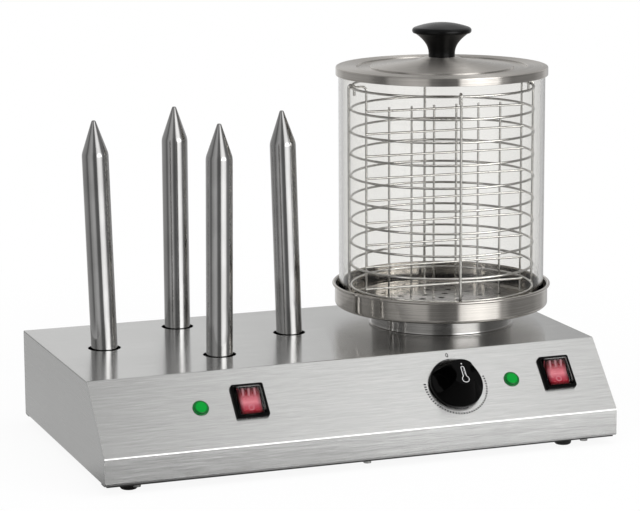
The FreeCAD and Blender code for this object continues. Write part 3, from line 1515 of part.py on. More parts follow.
def make_terminals():
    high = bottom + d.terminal_height
    terminal = Piece("terminal_block")
    half_x, half_y = d.terminal_width / 2, d.terminal_depth / 2
    edge = terminal.drawing("edge", z=bottom)
    edge.rectangle(gland_x - half_x, gland_x + half_x, terminal_y - half_y, terminal_y + half_y)
    terminal.pad("ceramic", edge, d.terminal_height)
    wires = terminal.drawing("wire_openings", "XZ", z=-terminal_y)
    wires.circles([(x, bottom + d.terminal_height / 3) for x in terminal_xs], d.terminal_hole_radius)
    terminal.pocket("wire_holes", wires, d.terminal_depth + d.overrun, both_ways=True)
    wells = terminal.drawing("screw_openings", z=high)
    places = [(x, terminal_y) for x in terminal_xs]
    wells.circles(places, d.terminal_screw_head_radius + d.fit_gap)
    terminal.pocket("screw_wells", wells, d.terminal_screw_depth)
    head_low = high - d.terminal_screw_depth
    screws(
        "terminal_screws", places, d.terminal_screw_radius, head_low, head_low + d.fit_gap,
        d.terminal_screw_head_radius, d.terminal_screw_head_height, head_below=False,
    )
    x = gland_x + d.earth_offset
    stud = cylinder(d.earth_stud_radius, bottom, bottom + d.earth_stud_length, x, terminal_y)
    nut_low = bottom + d.earth_stud_length / 2
    bar = hexagon_bar(d.earth_nut_across, nut_low, nut_low + d.earth_nut_height, x, terminal_y)
    bore = cylinder(d.earth_stud_radius + d.running_gap, bottom, bottom + d.earth_stud_length, x, terminal_y)
    group("earth_stud", [stud, cut(bar, bore)])


def make_everything():
    make_casing()
    for side in ("left", "right"):
        make_end_panel(side)
    make_base_plate()
    make_base_screws()
    make_feet()
    make_bridge()
    make_spikes()
    make_collar()
    make_hotplate()
    make_element()
    make_clamp()
    make_cutout()
    make_pan()
    make_glass()
    make_basket_rings()
    make_basket_uprights()
    make_basket_divider()
    make_basket_floor()
    make_lid()
    make_lid_knob()
    make_lamps()
    for side, x in switch_x.items():
        make_switch(side, x)
        make_rocker(side, x)
        make_splash_cover(side, x)
    make_thermostat()
    make_thermostat_knob()
    make_sensor()
    make_gland()
    make_terminals()


def write_parts():
    doc.recompute()
    for thing in doc.Objects:
        if "Invalid" in thing.State or "Error" in thing.State:
            raise ValueError(f"{thing.Label} is {thing.State}")
    for name, thing in parts.items():
        if thing.Shape.isNull() or not thing.Shape.isValid():
            raise ValueError(f"{name} has no valid shape")
    os.makedirs("parts", exist_ok=True)
    for name, thing in parts.items():
        thing.Shape.exportStep(f"parts/{name}.step")
        print(f"{name}: {len(thing.Shape.Solids)} solids, {thing.Shape.Volume:.1f} mm3")


make_everything()
write_parts()
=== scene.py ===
import math

import bmesh
import bpy
import numpy as np
from mathutils import Matrix, Vector


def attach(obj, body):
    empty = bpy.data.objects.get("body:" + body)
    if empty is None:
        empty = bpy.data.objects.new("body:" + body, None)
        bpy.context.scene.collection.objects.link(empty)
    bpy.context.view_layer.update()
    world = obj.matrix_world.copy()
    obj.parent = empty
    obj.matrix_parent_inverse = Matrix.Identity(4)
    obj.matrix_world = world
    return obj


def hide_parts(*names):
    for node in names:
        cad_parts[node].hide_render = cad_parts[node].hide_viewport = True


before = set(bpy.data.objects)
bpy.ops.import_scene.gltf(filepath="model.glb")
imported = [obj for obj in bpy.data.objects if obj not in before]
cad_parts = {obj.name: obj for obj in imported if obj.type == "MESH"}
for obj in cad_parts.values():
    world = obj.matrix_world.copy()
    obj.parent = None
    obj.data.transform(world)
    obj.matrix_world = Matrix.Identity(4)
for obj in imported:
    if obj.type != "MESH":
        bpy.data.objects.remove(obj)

MM = 0.001
ROUND = 2 * np.pi
WELD_GAP = 2e-7  # metres
SMOOTH_TO = 32  # degrees

# Places that several pieces share, in millimetres
FRONT = -150.5
LIP_TOP = 33.5
CASING_TOP = 92.0
SLOPE = math.radians(47.6)
CONTROL_LINE = 41.5
BOILER = (142.5, 21.0)
SPIKES = {"left": (-198.0, 29.5), "rear": (-105.5, 95.5), "front": (-105.5, -36.5), "right": (-13.0, 29.5)}
LEANS = {"left": -1.6, "rear": 0.0, "front": 0.6, "right": -1.6}
LAMPS = {"left": -151.9, "right": 153.7}
LAMP_LINE = 41.9
SWITCHES = {"left": -105.1, "right": 200.8}
SWITCH_LINE = 44.0
THERMOSTAT = 96.6
PAN_FLOOR = 112.3
GLASS_TOP = 344.1
BASKET = (143.3, 21.0)
BASKET_TURN = math.radians(-1.9)

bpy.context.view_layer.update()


# Surfaces


def once_round(count):
    """Angles once round a circle, in even steps."""
    return np.linspace(0, ROUND, count, endpoint=False)


def unit(vector):
    """The same direction, with a length of 1."""
    return vector / np.linalg.norm(vector, axis=-1, keepdims=True)


def in_scene(name, data):
    """An object of the scene that holds a mesh, a lamp or a camera."""
    thing = bpy.data.objects.new(name, data)
    bpy.context.scene.collection.objects.link(thing)
    return thing


def riding(name, mesh, body, material):
    """A piece from a mesh, with its material, on its body."""
    mesh.materials.append(material)
    piece = in_scene(name, mesh)
    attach(piece, body)
    return piece


def weld(mesh, sharp=SMOOTH_TO):
    """Weld points that meet, turn the faces outwards, and smooth them up to the sharp angle."""
    shape = bmesh.new()
    shape.from_mesh(mesh)
    bmesh.ops.remove_doubles(shape, verts=shape.verts, dist=WELD_GAP)
    bmesh.ops.recalc_face_normals(shape, faces=shape.faces)
    shape.to_mesh(mesh)
    shape.free()
    mesh.polygons.foreach_set("use_smooth", np.ones(len(mesh.polygons), bool))
    mesh.set_sharp_from_angle(angle=math.radians(sharp))


def grid_piece(name, points, body, material, wrap_u=False, wrap_v=False, sharp=SMOOTH_TO):
    """A piece from a grid of points in millimetres, a row for each step of u and a column for each step of v.

    Neighbouring points make a four-sided face. The piece's map holds u and v, each from 0 to 1.
    """
    rows, columns = points.shape[:2]
    u_faces, v_faces = rows - (not wrap_u), columns - (not wrap_v)
    u, v = (step.ravel() for step in np.meshgrid(np.arange(u_faces), np.arange(v_faces), indexing="ij"))
    here, beyond = u * columns, (u + 1) % rows * columns
    beside = (v + 1) % columns
    corners = np.stack([here + v, beyond + v, beyond + beside, here + beside], axis=1)
    mesh = bpy.data.meshes.new(name)
    mesh.from_pydata((points.reshape(-1, 3) * MM).tolist(), [], corners.tolist())
    across = np.stack([u, u + 1, u + 1, u], axis=1) / u_faces
    along = np.stack([v, v, v + 1, v + 1], axis=1) / v_faces
    layer = mesh.uv_layers.new(name="map")
    layer.data.foreach_set("uv", np.stack([across, along], axis=2).ravel())
    weld(mesh, sharp)
    return riding(name, mesh, body, material)


def joined(name, pieces, body, material):
    """Several pieces' meshes as one piece."""
    shape = bmesh.new()
    for piece in pieces:
        shape.from_mesh(piece.data)
    mesh = bpy.data.meshes.new(name)
    shape.to_mesh(mesh)
    shape.free()
    for piece in pieces:
        bpy.data.objects.remove(piece)
    return riding(name, mesh, body, material)


def bend(before, corner, after, radius, steps):
    """The arc that rounds the corner between two sides that stand at an angle of 2 a.

    It touches both sides, and its centre lies r / sin a from the corner. An arc from p to q about its centre,
    which sweeps through w, is (p sin((1 - t) w) + q sin(t w)) / sin w.
    """
    way_in, way_out = unit(before - corner), unit(after - corner)
    half_open = math.acos(np.clip(way_in @ way_out, -1, 1)) / 2
    middle = unit(way_in + way_out)
    centre = corner + middle * radius / math.sin(half_open)
    start = corner + way_in * radius / math.tan(half_open) - centre
    end = corner + way_out * radius / math.tan(half_open) - centre
    sweep = math.pi - 2 * half_open
    share = np.linspace(0, 1, steps)[:, None]
    return centre + (start * np.sin((1 - share) * sweep) + end * np.sin(share * sweep)) / math.sin(sweep)


def rounded(points, steps=7):
    """An outline with its corners rounded: each corner is a point and its radius.

    Each long straight side gets a point near both its ends, so that it shades flat and only the corners bend the
    light.
    """
    corners = np.array(points, float)
    places, radii = corners[:, :2], corners[:, 2]
    runs = [places[:1]]
    for before, corner, after, radius in zip(places, places[1:], places[2:], radii[1:]):
        runs.append(bend(before, corner, after, radius, steps) if radius else corner[None])
    runs.append(places[-1:])
    result = runs[:1]
    for run in runs[1:]:
        side = run[0] - result[-1][-1]
        length = np.linalg.norm(side)
        if length > 0.8:
            ease = side / length * min(0.25, length / 4)
            result.append(np.array([result[-1][-1] + ease, run[0] - ease]))
        result.append(run)
    return np.concatenate(result)


def lathe(name, profile, centre, body, material, segments=256, sharp=SMOOTH_TO):
    """A turned piece: the point (r, z) of the profile goes round to (r cos u, r sin u, z) about a centre."""
    radius, height = profile[:, 0], profile[:, 1]
    turn = once_round(segments)[:, None]
    points = np.stack([
        centre[0] + radius * np.cos(turn),
        centre[1] + radius * np.sin(turn),
        np.broadcast_to(height, (segments, len(height))),
    ], axis=2)
    return grid_piece(name, points, body, material, wrap_u=True, sharp=sharp)


def on_panel(x, s, n):
    """A point of the sloped panel's own frame: x along, s up the slope from the lip, n straight out."""
    x, s, n = np.broadcast_arrays(x, s, n)
    return np.stack([
        x,
        FRONT + s * math.cos(SLOPE) - n * math.sin(SLOPE),
        LIP_TOP + s * math.sin(SLOPE) + n * math.cos(SLOPE),
    ], axis=-1)


def turned_on_panel(name, profile, x, line, body, material, segments=128, sharp=SMOOTH_TO):
    """A turned piece that stands on the panel: (r, n) goes round an axis that stands square on the panel."""
    turn = once_round(segments)[:, None]
    points = on_panel(x + profile[:, 0] * np.cos(turn), line + profile[:, 0] * np.sin(turn), profile[:, 1])
    return grid_piece(name, points, body, material, wrap_u=True, sharp=sharp)


def rounded_rectangle(half_x, half_y, radius, count=96):
    """Points of a rectangle with round corners, spaced evenly by angle in each corner."""
    quarter = np.linspace(0, np.pi / 2, count // 4)
    corners = []
    for index, (sx, sy) in enumerate(((1, 1), (-1, 1), (-1, -1), (1, -1))):
        angle = quarter + index * np.pi / 2
        corners.append(np.stack([
            sx * (half_x - radius) + radius * np.cos(angle),
            sy * (half_y - radius) + radius * np.sin(angle),
        ], axis=1))
    return np.concatenate(corners)


def loft_on_panel(name, rings, x, body, material, sharp=SMOOTH_TO):
    """Round-cornered rectangles (half width, half height, corner radius, n) joined one to the next."""
    points = []
    for half_x, half_y, radius, n in rings:
        outline = rounded_rectangle(half_x, half_y, radius)
        points.append(on_panel(x + outline[:, 0], SWITCH_LINE + outline[:, 1], n))
    return grid_piece(name, np.array(points), body, material, wrap_v=True, sharp=sharp)


# Finishes


class Nodes:
    """A node tree, with a word for each kind of node that the finishes and the studio use."""

    def __init__(self, tree):
        self.tree = tree

    def node(self, kind, inputs=(), **settings):
        """Add a node, set it up, and link or fill its sockets."""
        node = self.tree.nodes.new("ShaderNode" + kind)
        for setting, value in settings.items():
            setattr(node, setting, value)
        for socket, value in dict(inputs).items():
            if isinstance(value, bpy.types.NodeSocket):
                self.tree.links.new(value, node.inputs[socket])
            else:
                node.inputs[socket].default_value = value
        return node

    def maths(self, operation, first, second=0.0, **settings):
        return self.node("Math", {0: first, 1: second}, operation=operation, **settings).outputs[0]

    def product(self, first, *others):
        for other in others:
            first = self.maths("MULTIPLY", first, other)
        return first

    def blend(self, first, second, share):
        """A share of the second value, and the rest of the first."""
        return self.maths("ADD", self.product(first, 1 - share), self.product(second, share))

    def spread(self, value, low, high, start=0.3, end=0.7, kind="LINEAR"):
        """A value from start to end, stretched to run from low to high."""
        inputs = {"Value": value, "From Min": start, "From Max": end, "To Min": low, "To Max": high}
        return self.node("MapRange", inputs, interpolation_type=kind).outputs[0]

    def eased(self, value, start, end):
        """0 at the start, 1 at the end, with a smooth rise between them."""
        return self.spread(value, 0.0, 1.0, start, end, "SMOOTHSTEP")

    def vector(self, operation, vector, second=(0, 0, 0), scale=1.0):
        inputs = {0: vector, "Scale": scale} if operation == "SCALE" else {0: vector, 1: second}
        node = self.node("VectorMath", inputs, operation=operation)
        return node.outputs["Value" if operation in ("LENGTH", "DOT_PRODUCT") else 0]

    def parts(self, vector):
        return self.node("SeparateXYZ", {0: vector}).outputs

    def mixed(self, share, first, second):
        """A colour on its way from the first to the second."""
        return self.node("Mix", {"Factor": share, 6: first, 7: second}, data_type="RGBA").outputs[2]

    def colours(self, value, stops, interpolation="LINEAR"):
        """A colour that runs through stops: each is a value from 0 to 1 and a colour."""
        node = self.node("ValToRGB", {"Fac": value})
        ramp = node.color_ramp
        ramp.interpolation = interpolation
        while len(ramp.elements) < len(stops):
            ramp.elements.new(0.5)
        for element, (position, colour) in zip(ramp.elements, stops):
            element.position = position
            element.color = (*colour, 1)
        return node.outputs["Color"]


class Finish(Nodes):
    """A material whose nodes are added one by one."""

    def __init__(self, name, **sockets):
        self.material = bpy.data.materials.new(name)
        self.material.use_nodes = True
        super().__init__(self.material.node_tree)
        self.shader = self.tree.nodes["Principled BSDF"]
        for socket, value in sockets.items():
            self.shader.inputs[socket.replace("_", " ")].default_value = value

    def place(self, centre=(0, 0), scale=(1, 1, 1)):
        """The object's own coordinates, moved to a centre in millimetres and stretched."""
        source = self.node("TexCoord").outputs["Object"]
        shift = self.node("Mapping", {"Vector": source, "Location": (-centre[0] * MM, -centre[1] * MM, 0)})
        return self.node("Mapping", {"Vector": shift.outputs[0], "Scale": scale}).outputs[0]

    def round_place(self, centre, around, across):
        """Coordinates that run slowly round an upright axis and fast along the radius and the height."""
        x, y, z = self.parts(self.place(centre))
        square = self.maths("ADD", self.product(x, x), self.product(y, y))
        radius = self.maths("SQRT", self.maths("ADD", square, 1e-8))
        east, north = (self.product(self.maths("DIVIDE", way, radius), around) for way in (x, y))
        step = self.product(self.maths("ADD", radius, z), across)
        return self.node("CombineXYZ", {0: east, 1: north, 2: step}).outputs[0]

    def noise(self, vector, scale=1.0, detail=3.0):
        inputs = {"Vector": vector, "Scale": scale, "Detail": detail, "Roughness": 0.55}
        return self.node("TexNoise", inputs).outputs["Fac"]

    def tone(self, value, low, high):
        """The colour runs from low to high with a noise."""
        return self.drive("Base Color", self.colours(value, [(0.3, low), (0.7, high)]))

    def drive(self, socket, value):
        self.tree.links.new(value, self.shader.inputs[socket])
        return self

    def bump(self, height, strength, distance):
        node = self.node("Bump", {"Height": height, "Strength": strength, "Distance": distance})
        return self.drive("Normal", node.outputs["Normal"])


def brushed_sheet(name, grain, low, high, rough, anisotropic=0.88):
    """Flat brushed steel: long fine scratches, streaks a little lighter and darker, and cloudy wiping marks.

    The shine spreads square to the scratches, which run where the grain is coarse.
    """
    finish = Finish(name, Metallic=1.0, Anisotropic=anisotropic, Anisotropic_Rotation=0.25)
    along = [float(one == min(grain)) for one in grain]
    finish.drive("Tangent", finish.node("CombineXYZ", dict(enumerate(along))).outputs[0])
    fine = finish.noise(finish.place(scale=[one * 3.5 for one in grain]), detail=2.0)
    streaks = finish.noise(finish.place(scale=grain), detail=4.0)
    clouds = finish.noise(finish.place(scale=(9, 9, 9)), detail=2.0)
    both = finish.blend(fine, streaks, 0.5)
    finish.tone(both, low, high)
    finish.drive("Roughness", finish.spread(finish.blend(both, clouds, 0.3), *rough))
    return finish.bump(both, 0.03, 0.0001).material


def turned_steel(name, low, high, rough, strength=0.12, anisotropic=0.7, dull=0.0):
    """Spun or turned steel: fine rings round the boiler's axis, with the shine drawn out across them.

    Level faces may be duller than upright ones.
    """
    finish = Finish(name, Metallic=1.0, Anisotropic=anisotropic, Anisotropic_Rotation=0.25)
    rings = finish.noise(finish.round_place(BOILER, 1.2, 1500.0))
    clouds = finish.noise(finish.place(scale=(30, 30, 30)), detail=2.0)
    finish.tone(rings, low, high)
    shine = finish.spread(finish.blend(rings, clouds, 0.25), *rough)
    if dull:
        level = finish.parts(finish.node("TexCoord").outputs["Normal"])[2]
        shine = finish.maths("ADD", shine, finish.product(finish.maths("ABSOLUTE", level), dull))
    finish.drive("Roughness", shine)
    x, y, _ = finish.parts(finish.place(BOILER))
    finish.drive("Tangent", finish.node("CombineXYZ", {0: finish.product(y, -1.0), 1: x}).outputs[0])
    return finish.bump(rings, strength, 0.00005).material


def drawn_steel(name, low, high, rough):
    """Polished drawn tube: faint soft streaks that run along it."""
    finish = Finish(name, Metallic=1.0)
    streaks = finish.noise(finish.place(scale=(260, 260, 9)), detail=2.0)
    clouds = finish.noise(finish.place(scale=(70, 70, 25)), detail=2.0)
    finish.tone(clouds, low, high)
    finish.drive("Roughness", finish.spread(streaks, *rough))
    return finish.bump(clouds, 0.05, 0.0002).material


def plain_metal(name, low, high, rough, scale=220.0):
    """Bare metal with small cloudy changes of tone and shine."""
    finish = Finish(name, Metallic=1.0)
    clouds = finish.noise(finish.place(), scale=scale, detail=4.0)
    finish.tone(clouds, low, high)
    finish.drive("Roughness", finish.spread(clouds, *rough))
    return finish.bump(clouds, 0.05, 0.00005).material


def moulding(name, colour, rough, scale=900.0, strength=0.03, **sockets):
    """Moulded plastic or rubber: a fine skin texture and a slightly uneven gloss."""
    finish = Finish(name, Base_Color=(*colour, 1), **sockets)
    skin = finish.noise(finish.place(), scale=scale)
    haze = finish.noise(finish.place(), scale=60.0, detail=2.0)
    finish.drive("Roughness", finish.spread(haze, *rough))
    return finish.bump(skin, strength, 0.0001).material


finishes = {
    "casing": brushed_sheet("casing_brushed", (22, 800, 800), (0.60, 0.60, 0.59), (0.75, 0.75, 0.74), (0.16, 0.24),
                            anisotropic=0.95),
    "end": brushed_sheet("end_brushed", (700, 9, 700), (0.54, 0.54, 0.53), (0.63, 0.63, 0.62), (0.24, 0.34)),
    # Near-black base plate: a dark sheet, darkened further as painted shade for the shadow gap under the casing.
    "base": brushed_sheet("base_sheet", (20, 500, 500), (0.03, 0.03, 0.03), (0.05, 0.05, 0.05), (0.35, 0.5)),
    "bracket": plain_metal("zinc_plate", (0.48, 0.48, 0.45), (0.62, 0.62, 0.58), (0.25, 0.45)),
    "screw": plain_metal("screw_steel", (0.42, 0.42, 0.41), (0.58, 0.58, 0.57), (0.2, 0.35)),
    "element": plain_metal("heated_tube", (0.20, 0.17, 0.13), (0.34, 0.30, 0.24), (0.35, 0.5)),
    "aluminium": plain_metal("cast_aluminium", (0.55, 0.55, 0.55), (0.68, 0.68, 0.68), (0.3, 0.45)),
    "brass": plain_metal("brass_screws", (0.55, 0.40, 0.17), (0.72, 0.55, 0.26), (0.2, 0.35)),
    "wire": plain_metal("basket_wire", (0.66, 0.65, 0.63), (0.80, 0.79, 0.76), (0.14, 0.24), 500.0),
    "spike": drawn_steel("spike_tube_steel", (0.46, 0.455, 0.45), (0.56, 0.555, 0.55), (0.09, 0.15)),
    "pan": turned_steel("dish_spun", (0.50, 0.475, 0.44), (0.64, 0.61, 0.57), (0.08, 0.15), strength=0.05),
    # A darker copy of the spun steel for the collar under the dish: painted shade.
    "collar": turned_steel("collar_spun_painted_shade", (0.36, 0.35, 0.34), (0.48, 0.47, 0.455), (0.08, 0.15)),
    "pan_floor": turned_steel("basket_floor_sheet", (0.48, 0.47, 0.46), (0.58, 0.57, 0.56), (0.14, 0.22),
                              strength=0.02),
    "lid": turned_steel("lid_spun", (0.54, 0.51, 0.47), (0.72, 0.69, 0.65), (0.09, 0.15), anisotropic=0.9,
                        dull=0.3),
    "rubber": moulding("foot_rubber", (0.010, 0.010, 0.010), (0.3, 0.45), 500.0, 0.1, Specular_IOR_Level=0.35),
    "black": moulding("black_gloss", (0.001, 0.001, 0.001), (0.05, 0.10), strength=0.015, Specular_IOR_Level=0.07),
    "black_satin": moulding("black_moulding", (0.003, 0.003, 0.003), (0.18, 0.28), strength=0.05,
                            Specular_IOR_Level=0.2),
    "bezel": moulding("switch_moulding", (0.002, 0.002, 0.002), (0.2, 0.3), strength=0.05, Specular_IOR_Level=0.05),
    "pink": moulding("red_print", (0.62, 0.24, 0.30), (0.3, 0.45), Specular_IOR_Level=0.1),
    "green": moulding("green_lens", (0.0, 0.29, 0.03), (0.12, 0.2), Specular_IOR_Level=0.12),
    # A darker copy of the lens green for the lamp's rim and foot ring: painted shade.
    "green_rim_painted_shade": moulding("green_rim_ring", (0.0, 0.13, 0.02), (0.15, 0.25), Specular_IOR_Level=0.5),
    "print": moulding("dial_print", (0.005, 0.005, 0.005), (0.4, 0.55), Specular_IOR_Level=0.1),
    "white_print": moulding("knob_print", (0.80, 0.80, 0.80), (0.35, 0.5)),
    "ceramic": moulding("glazed_ceramic", (0.80, 0.78, 0.73), (0.15, 0.3)),
    "control": moulding("control_moulding", (0.05, 0.05, 0.055), (0.35, 0.5)),
}

# The button's red along its length, with painted shade near both ends and painted light across the middle.
WINDOW_RED_AND_PAINTED_LIGHT = [
    (0.0, (0.01, 0.005, 0.004)), (0.12, (0.36, 0.004, 0.02)), (0.28, (0.48, 0.06, 0.10)),
    (0.44, (0.72, 0.23, 0.28)), (0.6, (0.60, 0.15, 0.19)), (0.76, (0.24, 0.01, 0.02)),
    (0.92, (0.07, 0.002, 0.004)), (1.0, (0.01, 0.003, 0.003)),
]


def painted_light_window(name):
    """The switch's red button: paler across its middle, dark at its edges, with three pale streaks near the top.

    The button's own map gives the place: u across it, and v from its lower to its upper end. The dark sides and
    ends are painted shade, the paler middle is painted light, and the streaks are painted highlights: the crests of
    a cosine of u.
    """
    finish = Finish(name, Roughness=0.25, Specular_IOR_Level=0.08)
    across, along, _ = finish.parts(finish.node("UVMap", uv_map="map").outputs[0])
    middle = finish.maths("SUBTRACT", across, 0.5)
    side = finish.maths("ABSOLUTE", middle)
    # Painted shade towards the button's sides.
    shade = finish.spread(side, 1.0, 0.25, 0.3, 0.5)
    colour = finish.vector("SCALE", finish.colours(along, WINDOW_RED_AND_PAINTED_LIGHT), scale=shade)
    wave = finish.maths("COSINE", finish.product(middle, ROUND / 0.27))
    # Painted highlights: three pale streaks near the top.
    painted_streak = finish.product(
        finish.spread(wave, 0.0, 0.8, 0.2, 0.8),
        finish.spread(side, 1.0, 0.0, 0.38, 0.42),
        finish.spread(along, 0.0, 1.0, 0.66, 0.74),
        finish.spread(along, 1.0, 0.0, 0.94, 1.0),
    )
    return finish.drive("Base Color", finish.mixed(painted_streak, colour, (0.50, 0.23, 0.27, 1))).material


def clear(name, colour, index, rough=0.0):
    """Clear glass or plastic, tinted where it is thick."""
    return Finish(name, Base_Color=(*colour, 1), Roughness=rough, IOR=index, Transmission_Weight=1.0).material


finishes["glass"] = clear("cylinder_glass", (0.915, 0.91, 0.895), 1.3)
finishes["cover"] = clear("splash_plastic", (0.90, 0.88, 0.87), 1.2, 0.05)
finishes["red"] = painted_light_window("red_window")


# Heated spikes


def spike(side):
    """A tube with a softly rounded cone, leaned by a small angle a about the middle of its plug.

    The lean takes (x, z) about the pivot to (x cos a + z sin a, z cos a - x sin a).
    """
    pivot, low, shoulder, tip = 53.0, 49.4, 276.8, 308.6
    lean = math.radians(LEANS[side])
    foot = SPIKES[side][0] - (CASING_TOP - pivot) * math.tan(lean)
    profile = rounded([
        (11.0, low - pivot, 0), (12.5, low - pivot, 0.3), (12.5, shoulder - pivot + 0.4, 17.0),
        (1.75, tip - pivot - 0.1, 1.7), (0, tip - pivot, 0), (0, tip - 3.8 - pivot, 0),
        (11.0, shoulder - pivot, 0), (11.0, low - pivot, 0),
    ], 9)
    piece = lathe("spike_tube_" + side, profile, (0, 0), "housing", finishes["spike"], 160)
    points = np.empty(len(piece.data.vertices) * 3)
    piece.data.vertices.foreach_get("co", points)
    x, y, z = points.reshape(-1, 3).T
    leaned = [
        foot * MM + x * math.cos(lean) + z * math.sin(lean),
        SPIKES[side][1] * MM + y,
        pivot * MM + z * math.cos(lean) - x * math.sin(lean),
    ]
    piece.data.vertices.foreach_set("co", np.stack(leaned, axis=1).ravel())
    piece.data.update()
    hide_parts("spike_" + side)


for side in SPIKES:
    spike(side)


# Boiler: collar, dish and glass


def collar():
    """A rolled ring on a flat foot, with a fine turned groove above the foot."""
    profile = rounded([
        (64.0, 92.0, 0), (71.0, 92.0, 0.3), (71.0, 93.2, 0.4), (68.9, 93.2, 0.5), (68.6, 94.6, 0.3),
        (68.6, 111.0, 0.8), (65.6, 111.0, 0.4), (65.6, 104.5, 0.3), (60.6, 104.5, 0.2), (60.6, 103.3, 0.2),
        (66.8, 103.3, 0.3), (66.8, 109.8, 0.2), (67.4, 109.8, 0.2), (67.4, 93.2, 0.2), (64.0, 93.2, 0.2),
        (64.0, 92.0, 0),
    ])
    # The collar's darker steel is painted shade from the dish above.
    piece = lathe("collar_ring", profile, BOILER, "housing", finishes["collar"])
    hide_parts("boiler_collar")


def dish():
    """A spun dish with a flat step under its middle and a rolled rim."""
    under, middle, edge = 111.3, 108.8, 131.8
    bead = np.linspace(-np.pi * 0.55, np.pi * 1.02, 22)
    rim = np.stack([105.2 + 1.5 * np.cos(bead), edge + 1.5 * np.sin(bead)], axis=1)
    outside = rounded([
        (0, middle, 0), (64.5, middle, 0.8), (65.0, under, 0.8), (104.2, under, 3.0), (104.2, edge - 1.2, 0),
    ])
    inside = rounded([
        (103.2, edge - 0.2, 0), (103.2, under + 1.0, 2.0), (64.2, under + 1.0, 0.8), (63.6, middle + 1.0, 0.8),
        (0, middle + 1.0, 0),
    ])
    piece = lathe("dish_bowl", np.concatenate([outside, rim, inside]), BOILER, "water_pan", finishes["pan"], 320)
    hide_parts("water_pan")


def glass():
    """A tube with fire-polished edges."""
    corners = [(100.0, PAN_FLOOR, 1.2), (100.0, GLASS_TOP, 1.2), (96.0, GLASS_TOP, 1.2), (96.0, PAN_FLOOR, 1.2)]
    profile = rounded([(98.0, PAN_FLOOR, 0), *corners, (98.0, PAN_FLOOR, 0)], 9)
    piece = lathe("glass_tube", profile, BOILER, "glass", finishes["glass"], 320, 60)
    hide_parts("glass_cylinder")


collar()
dish()
glass()


# Basket


def in_basket(points):
    """Points of the basket's own frame, turned with the basket and moved to its middle."""
    points = np.asarray(points, float)
    x, y = points[..., 0], points[..., 1]
    return np.stack([
        BASKET[0] + x * math.cos(BASKET_TURN) - y * math.sin(BASKET_TURN),
        BASKET[1] + x * math.sin(BASKET_TURN) + y * math.cos(BASKET_TURN),
        points[..., 2],
    ], axis=-1)


def direction(x, y):
    return in_basket((x, y, 0)) - in_basket((0, 0, 0))


def wire(path, normal, radius, closed=False, sides=12):
    """A round basket wire along a flat path: each point is path + r (cos v side + sin v normal).

    side is the path's direction turned by a quarter about the normal of the path's plane. Open ends close
    to a point over a short dome.
    """
    path = np.asarray(path, float)
    if closed:
        forward = np.roll(path, -1, axis=0) - np.roll(path, 1, axis=0)
        size = np.full(len(path), radius)
    else:
        forward = np.gradient(path, axis=0)
        heading = unit(forward[[0, -1]])
        dome = np.array([1, 0.94, 0.6])[:, None] * radius * 0.5
        first = path[0] + heading[0] * (0.5 * radius - dome)
        last = path[-1] - heading[1] * (0.5 * radius - dome[::-1])
        path = np.concatenate([first, path[1:-1], last])
        forward = np.concatenate([np.repeat(forward[:1], 3, 0), forward[1:-1], np.repeat(forward[-1:], 3, 0)])
        size = np.concatenate([[0, 0.7, 1], np.ones(len(path) - 6), [1, 0.7, 0]]) * radius
    forward = unit(forward)
    normal = np.asarray(normal, float)
    side = np.cross(normal, forward)
    turn = once_round(sides)[None, :, None]
    spread = side[:, None] * np.cos(turn) + normal[None, None] * np.sin(turn)
    points = path[:, None] + spread * size[:, None, None]
    return grid_piece("wire", points, "basket", finishes["wire"], wrap_u=closed, wrap_v=True, sharp=50)


RING_HEIGHTS = [130.3 + 21.7 * index for index in range(10)]
UPRIGHT_ANGLES = [math.radians(-10 + 90 * index) for index in range(4)]
RING_RADIUS = 88.6
GRID_SHIFT = 3.1
GRID_HALF = 80.9
GRID_XS = np.linspace(-GRID_HALF, GRID_HALF, 8) + GRID_SHIFT


def path_with_bends(corners, steps=10):
    """Straight runs with an arc at each inner corner, as points in space. A corner is a point and its radius."""
    corners = [(np.array(point, float), radius) for point, radius in corners]
    result = [corners[0][0]]
    for (before, _), (corner, radius), (after, _) in zip(corners, corners[1:], corners[2:]):
        result.extend(bend(before, corner, after, radius, steps))
    result.append(corners[-1][0])
    return spaced(np.array(result), 8.0)


def spaced(path, step):
    """The same path with points added on its long runs, no more than a step apart."""
    result = [path[:1]]
    for start, end in zip(path, path[1:]):
        count = max(1, int(np.ceil(np.linalg.norm(end - start) / step)))
        share = np.linspace(0, 1, count + 1)[1:, None]
        result.append(start + (end - start) * share)
    return np.concatenate(result)


def basket_rings():
    """Ten level hoops of round wire, each closed on itself."""
    turn = once_round(240)
    hoops = []
    for height in RING_HEIGHTS:
        level = np.full_like(turn, height)
        circle = in_basket(np.stack([RING_RADIUS * np.cos(turn), RING_RADIUS * np.sin(turn), level], axis=1))
        hoops.append(wire(circle, (0, 0, 1), 1.2, closed=True))
    piece = joined("basket_hoops", hoops, "basket", finishes["wire"])
    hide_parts("basket_rings")


def basket_uprights():
    """Four wires that run in under the floor, up outside the hoops, and over the top hoop as a narrow hook."""
    reach, toe, top = 2.55, 113.9, RING_HEIGHTS[-1]
    outer, inner = RING_RADIUS + reach, RING_RADIUS - reach
    wires = []
    for angle in UPRIGHT_ANGLES:
        out = np.array([math.cos(angle), math.sin(angle), 0])
        up = np.array([0, 0, 1.0])
        stem = path_with_bends([
            (out * 60.6 + up * toe, 0), (out * outer + up * toe, 6.0), (out * outer + up * top, 0)
        ])
        turn = np.linspace(0, np.pi, 17)[1:, None]
        loop = out * RING_RADIUS + up * top + reach * (out * np.cos(turn) + up * np.sin(turn))
        tail = spaced(np.array([out * inner + up * top, out * inner + up * (top - 8.0)]), 2.0)[1:]
        path = in_basket(np.concatenate([stem, loop, tail]))
        normal = np.cross(direction(out[0], out[1]), up)
        wires.append(wire(path, normal, 1.3))
    piece = joined("basket_stems", wires, "basket", finishes["wire"])
    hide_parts("basket_uprights")


